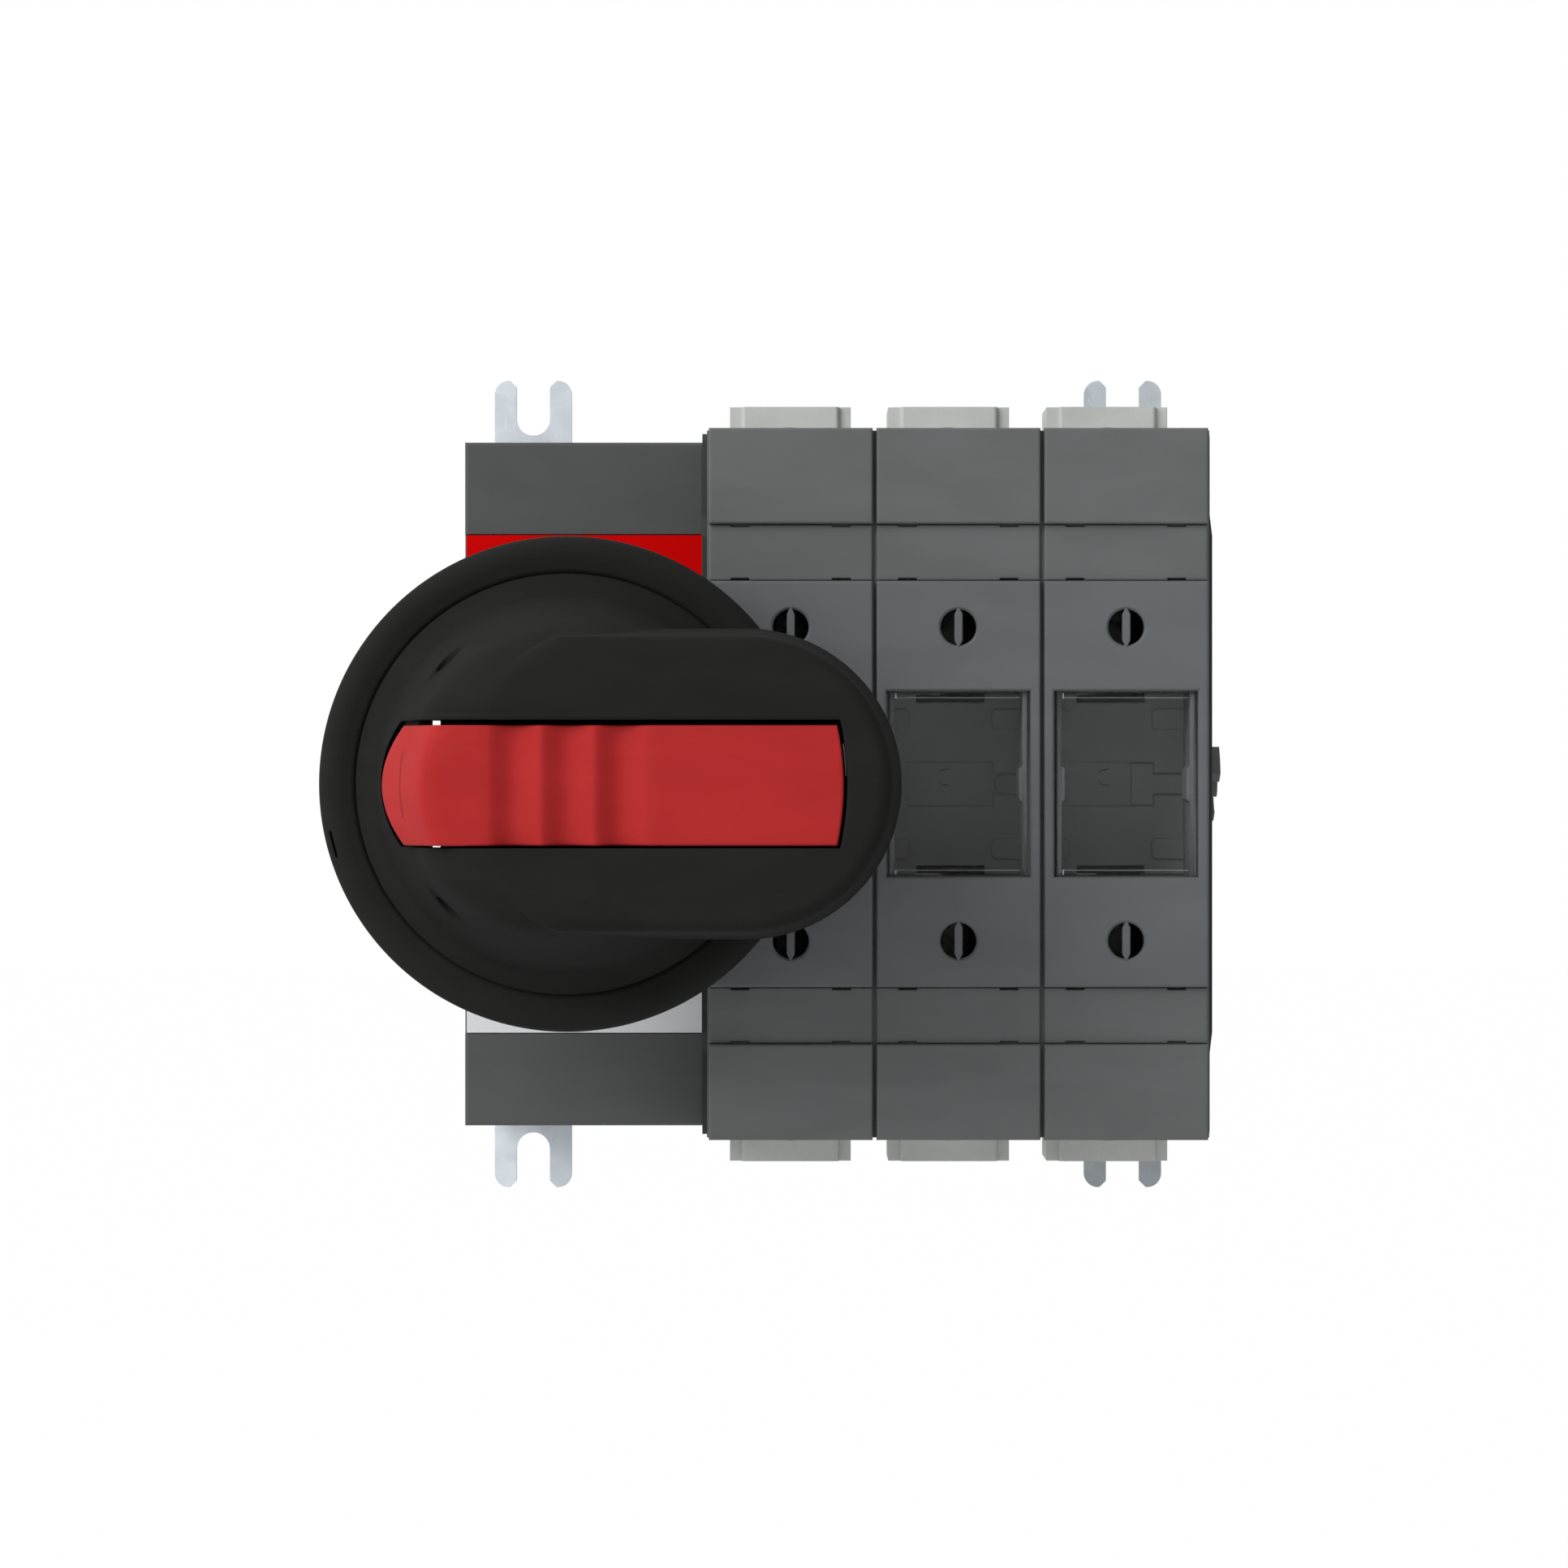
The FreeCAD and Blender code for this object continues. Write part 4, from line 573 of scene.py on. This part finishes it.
red_field = moulded("red_field", shown(207, 0, 0), shown(202, 0, 0), 0.5, 0.04, grain=0.000002)
dress(red_field, "front_label")


# End plates and tie rods.
# A dark moulded plate closes each side of the stack, clamped by four threaded rods.

plate_moulding = moulded("plate_moulding", shown(60, 61, 61), shown(56, 57, 57), 0.55, 0.15)
dress(plate_moulding, "end_plate_left", "end_plate_right")


def capped(shape):
    """A lathe shape whose first and last rings are closed with flat faces."""
    vertices, faces = shape
    last = len(vertices) - around
    return vertices, faces + [tuple(range(around))[::-1], tuple(range(last, last + around))]


def hexagon(flats, along):
    """A ring along a hexagon's sides."""
    leans = [(2 * math.pi * i / around + math.pi / 6) % (math.pi / 3) - math.pi / 6
             for i in range(around)]
    return [(flats / 2 / math.cos(lean), along) for lean in leans]


corner_slope = math.tan(math.radians(30))
chamfer_share = 0.97


def chamfered(flats, start, end):
    """The rings of a hexagon whose corners are turned down by 30 degrees at its end."""
    way = 1 if end > start else -1
    flat_radius = flats / 2 * chamfer_share
    edge = [(radius, end - way * max(0.0, radius - flat_radius) * corner_slope)
            for radius, _ in hexagon(flats, end)]
    return [hexagon(flats, start), edge, ring(flat_radius, end)]


rod_places = ((14.0, 57.0), (38.0, 55.0))
rod_radius, rod_core, rod_tip, rod_pitch = 2.5, 2.1, 1.9, 0.8
rod_nut_flats, rod_nut_height = 8.0, 3.5
stack_left, stack_right = -29.5, 79.9
rod_left, rod_right = -33.7, 84.1
rods = []
for depth, height in rod_places:
    for z in (-height, height):
        at = (0, -depth, z)
        rods.append(capped(lathe([ring(rod_radius, stack_left), ring(rod_radius, stack_right)], "X", at)))
        for start, end, way in ((stack_right, rod_right, 1), (stack_left, rod_left, -1)):
            shank = thread(rod_core, rod_radius, end, start, rod_pitch)[::-1]
            rods.append(capped(lathe(shank + [ring(rod_tip, end + way * 0.3)], "X", at)))
            nut = chamfered(rod_nut_flats, start, start + way * rod_nut_height)
            rods.append(capped(lathe(nut, "X", at)))
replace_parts(gather("tie_rods_with_nuts", rods, screw_zinc, "frame"), "tie_rods")


# Terminal bolts.
# Hexagon bolts with plain washers, of zinc-plated steel, that press the cable lugs on the
# terminal bars.

bolt_height = 68.5
bar_front = -56.0
washer_radius, washer_bore, washer_break, washer_front = 8.0, 4.3, 0.2, bar_front - 1.6
bolt_flats, bolt_head_front = 13.0, -62.9
bolt_crest, bolt_core, bolt_pitch = 3.95, 3.4, 1.25
bolt_thread_end, bolt_tip = -46.0, -45.6
bolts = []
for x in pole_middles:
    for z in (-bolt_height, bolt_height):
        at = (x, 0, z)
        washer = [ring(washer_bore, bar_front), ring(washer_radius - washer_break, bar_front),
                  ring(washer_radius, bar_front - washer_break),
                  ring(washer_radius, washer_front + washer_break),
                  ring(washer_radius - washer_break, washer_front), ring(washer_bore, washer_front)]
        bolts.append(capped(lathe(washer, "Y", at)))
        bolts.append(capped(lathe(chamfered(bolt_flats, washer_front, bolt_head_front), "Y", at)))
        shank = [ring(3.9, washer_front + 0.1)]
        shank += thread(bolt_core, bolt_crest, bar_front + 0.1, bolt_thread_end, bolt_pitch)
        bolts.append(capped(lathe(shank + [ring(3.2, bolt_tip)], "Y", at)))
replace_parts(gather("terminal_bolts_with_washers", bolts, screw_zinc, "frame"),
            "terminal_bolts")


# Handle grip.
# A black moulded pistol grip, hollow from behind, in one piece with its domed disc. A
# retainer and a foam seal lie behind it.

def hump_end(place):
    """1 where the grip's back end runs into the dome in one soft curve."""
    x, y, z = place.part(0), place.part(1), place.part(2).size()
    return ((0 - x).above(0.046, 0.052) * x.above(-0.086, -0.08) * (0 - y).above(0.15, 0.156)
            * z.above(0.0135, 0.0145))


handle_grain, handle_edge = 0.000012, 0.0012
black_moulding = moulded("black_moulding", shown(35, 35, 34), shown(32, 32, 31), 0.8, 0.05,
                         grain=handle_grain, edge=handle_edge, wear=0.05)
grip_moulding = moulded("grip_moulding", shown(34, 34, 33), shown(31, 31, 30), 0.8, 0.05,
                        grain=handle_grain, edge=handle_edge, wear=0.05, melted=hump_end)
dress(black_moulding, "disc_retainer")
dress(grip_moulding, "handle_grip")
seal_foam, foam_place = new_finish("seal_foam")
cell_inputs = {"Vector": foam_place, "Scale": 2600.0}
cells = foam_place.node("ShaderNodeTexVoronoi", {"feature": "F1"}, cell_inputs)
tint = cells.above(0.1, 0.6).blend(shown(24, 24, 24), shown(48, 48, 48))
surface(seal_foam, foam_place, {"Base Color": tint, "Roughness": 0.9 - cells * 0.15,
                                "Normal": bumped(cells, 0.00008, 0.9)})
dress(seal_foam, "collar_seal")


# Handle collar.
# A black moulded ring with a rounded crown, clamped to the cabinet's door round the disc. A
# short crescent slot is sunk in its crown at the left.

handle_axis, handle_back, handle_top = -54.4, -137.0, 48.0
collar_steps = 360
notch_turn, notch_reach, notch_depth = math.radians(194.5), math.radians(2.9), 2.2


def on_handle(x, height, z):
    """A place on the handle: right of its axis, above its back, up from its middle."""
    return Vector((handle_axis + x, handle_back - height, z)) * mm


def collar_section(slot):
    """The collar's outline from its bore to its rim, in millimetres, with a slot of a depth."""
    return [(43.62, 0.0), (43.62, 4.34), (42.75, 5.02), (42.73, 5.05), (43.1, 4.98),
            (43.5, 4.98), (44.2, 5.1), (45.2, 5.37), (46.4, 5.55), (47.4, 5.47), (48.3, 5.2),
            (48.56, 5.08), (48.62, 5.03 - slot), (49.0, 4.76 - slot), (49.06, 4.7), (49.55, 4.2),
            (50.0, 3.45), (50.32, 2.5), (50.5, 1.4), (50.5, 0.0)]


collar_points, collar_faces = [], []
for step in range(collar_steps):
    turn = 2 * math.pi * step / collar_steps
    lean = (turn - notch_turn + math.pi) % (2 * math.pi) - math.pi
    section = collar_section(notch_depth * max(0.0, 1 - (lean / notch_reach) ** 2) ** 0.5)
    collar_points += [on_handle(radius * math.cos(turn), height, radius * math.sin(turn))
                      for radius, height in section]
across = len(section)
for step in range(collar_steps):
    here, ahead = step * across, (step + 1) % collar_steps * across
    collar_faces += [(here + i, here + (i + 1) % across, ahead + (i + 1) % across, ahead + i)
                     for i in range(across)]
collar_ring = gather("collar_ring", [(collar_points, collar_faces)], black_moulding, "frame")
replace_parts(collar_ring, "handle_collar")


# Padlock slide.
# A moulded red bar in the grip's slot with three finger scoops, a skirt that follows the dome
# and a hook under it. Drawn to the left, it opens the hole for a padlock's shackle.

slide_left, slide_right, slide_half = -35.5, 55.85, 11.75
scoops, scoop_start, scoop_pitch, scoop_depth, scoop_steps = 3, -13.4, 10.4, 2.05, 16
cone_radius, cone_slope, cone_blend = 26.3, 2.13, 1.5
slide_top = handle_top - 0.4
slide_floor, skirt_floor = 34.8, 27.5
dome_height, dome_radius, dome_slope = 8.4, 39.3, 3.504
back_bulge_start, back_bulge = -15.0, 4.8
front_bulge_start, front_bulge = 45.0, 1.25
slide_sink = 0.3
edge_round = 0.5
least_wall = 0.2


def slide_point(station, line):
    """Where a station along the slide and a line across it meet, on its bulging ends."""
    bulge = (line / slide_half) ** 2
    back = max(0.0, (back_bulge_start - station) / (back_bulge_start - slide_left)) ** 2
    front = max(0.0, (station - front_bulge_start) / (slide_right - front_bulge_start)) ** 2
    return station + bulge * (back_bulge * back - front_bulge * front)


def slide_heights(station, line):
    """The slide's top and underside at a station and a line."""
    x = slide_point(station, line)
    radius = math.hypot(min(x, 0.0), line)
    share = (x - scoop_start) / scoop_pitch
    dip = scoop_depth * math.sin(math.pi * (share % 1)) ** 1.5 if 0 < share < scoops else 0.0
    flat = slide_top - dip
    cone = slide_top - (radius - cone_radius) * cone_slope
    top = (flat + cone - math.hypot(flat - cone, cone_blend)) / 2
    inward = min(edge_round, slide_half - abs(line), station - slide_left, slide_right - station)
    top -= edge_round - math.sqrt(edge_round ** 2 - (edge_round - inward) ** 2)
    under = slide_floor
    if x < 0:
        dome = dome_height + (dome_radius - radius) * dome_slope
        under = max(skirt_floor, min(slide_floor, dome))
    return max(top, under + least_wall), under


near_edge = (0.0, 0.05, 0.15, 0.35)
lines = [e - slide_half for e in near_edge] + [1.4 * i for i in range(-8, 9)]
lines += [slide_half - e for e in near_edge[::-1]]
stations = [slide_left + e for e in (0, 0.05, 0.15, 0.3)] + [-35.0 + 0.5 * i for i in range(20)]
stations += [-24.0, -21.0, -18.0, -15.5]
stations += [scoop_start + scoop_pitch * i / scoop_steps for i in range(scoops * scoop_steps + 1)]
stations += [20.0, 26.0, 34.0, 42.0, 47.0, 51.0, 54.0, 55.0]
stations += [slide_right - e for e in (0.5, 0.3, 0.15, 0.05, 0)]
top, under = [], []
for station in stations:
    for line in lines:
        x = slide_point(station, line)
        high, low = slide_heights(station, line)
        top.append(on_handle(x, high, line - slide_sink))
        under.append(on_handle(x, low, line - slide_sink))
wide, long, count = len(lines), len(stations), len(top)
skin = []
for i in range(long - 1):
    for j in range(wide - 1):
        corner = i * wide + j
        quad = (corner, corner + 1, corner + wide + 1, corner + wide)
        skin += [quad, tuple(count + k for k in quad)[::-1]]
border = [i * wide for i in range(long)] + [(long - 1) * wide + j for j in range(1, wide)]
border += [i * wide + wide - 1 for i in range(long - 2, -1, -1)] + list(range(wide - 2, 0, -1))
for one, two in zip(border, border[1:] + border[:1]):
    skin.append((one, two, count + two, count + one))


def chamfered_bar(left, right, half, top, bottom, chamfer):
    """A bar that stands down from a height on the handle, its corners and end broken."""
    rings = []
    for height, inset in ((top, 0.0), (bottom + chamfer, 0.0), (bottom, chamfer)):
        a, b, c = left + inset, right - inset, half - inset
        outline = [(a + chamfer, -c), (b - chamfer, -c), (b, chamfer - c), (b, c - chamfer),
                   (b - chamfer, c), (a + chamfer, c), (a, c - chamfer), (a, chamfer - c)]
        rings += [on_handle(x, height, z) for x, z in outline]
    walls = [(8 * k + i, 8 * k + (i + 1) % 8, 8 * k + 8 + (i + 1) % 8, 8 * k + 8 + i)
             for k in range(2) for i in range(8)]
    return rings, walls + [tuple(range(8)), tuple(range(16, 24))]


def skirt_groove_shade(place):
    """1 along a fine groove in the slide's skirt, whose shade is painted as a dark line."""
    x, z = place.part(0) - handle_axis * mm, place.part(2)
    square = x * x + z * z
    radius = square.math("SQRT", square)
    line = radius.above(0.0309, 0.0311) * (0.0315 - radius).above(0.0, 0.0002)
    return line * (0.0068 - z.size()).above(0.0, 0.0004) * (0 - x).above(0.0, 0.001)


# The slide's fine skirt line is the painted shade of a groove that is not modelled.
red_moulding = moulded("red_moulding", shown(170, 42, 42), shown(164, 39, 39), 0.55, 0.06,
                       grain=0.000006, edge=0.0004, wear=0.1, painted_groove_shade=skirt_groove_shade)
hook_left, hook_right, hook_half, hook_end = -31.0, -18.0, 5.0, 22.4
hook = chamfered_bar(hook_left, hook_right, hook_half, slide_floor + 0.5, hook_end, 0.5)
padlock_slide = gather("padlock_slide", [(top + under, skin), hook], red_moulding, "lock")
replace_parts(padlock_slide, "lock_slide")


# Slot spring.
# A leaf of spring steel in the upper half of the slot's curved end wall. It pushes the slide
# back.

leaf_steps = 8
leaf_start, leaf_length = 1.6, 6.3
leaf_front, leaf_back = 46.0, 34.5
leaf_gap, leaf_thickness = 0.1, 0.3
slot_end, slot_half, slot_sag = 56.5, 12.5, 1.4
leaf, leaf_faces = [], []
for i in range(leaf_steps + 1):
    z = leaf_start + leaf_length * i / leaf_steps
    outer = slot_end - slot_sag * (z / slot_half) ** 2 - leaf_gap
    inner = outer - leaf_thickness
    leaf += [on_handle(inner, leaf_front, z), on_handle(outer, leaf_front, z),
             on_handle(outer, leaf_back, z), on_handle(inner, leaf_back, z)]
for i in range(leaf_steps):
    leaf_faces += [(4 * i + j, 4 * i + (j + 1) % 4, 4 * i + 4 + (j + 1) % 4, 4 * i + 4 + j)
                   for j in range(4)]
leaf_faces += [(0, 1, 2, 3), tuple(4 * leaf_steps + j for j in range(4))]
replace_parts(gather("slot_spring", [(leaf, leaf_faces)], spring_steel, "handle"),
            "lock_spring")
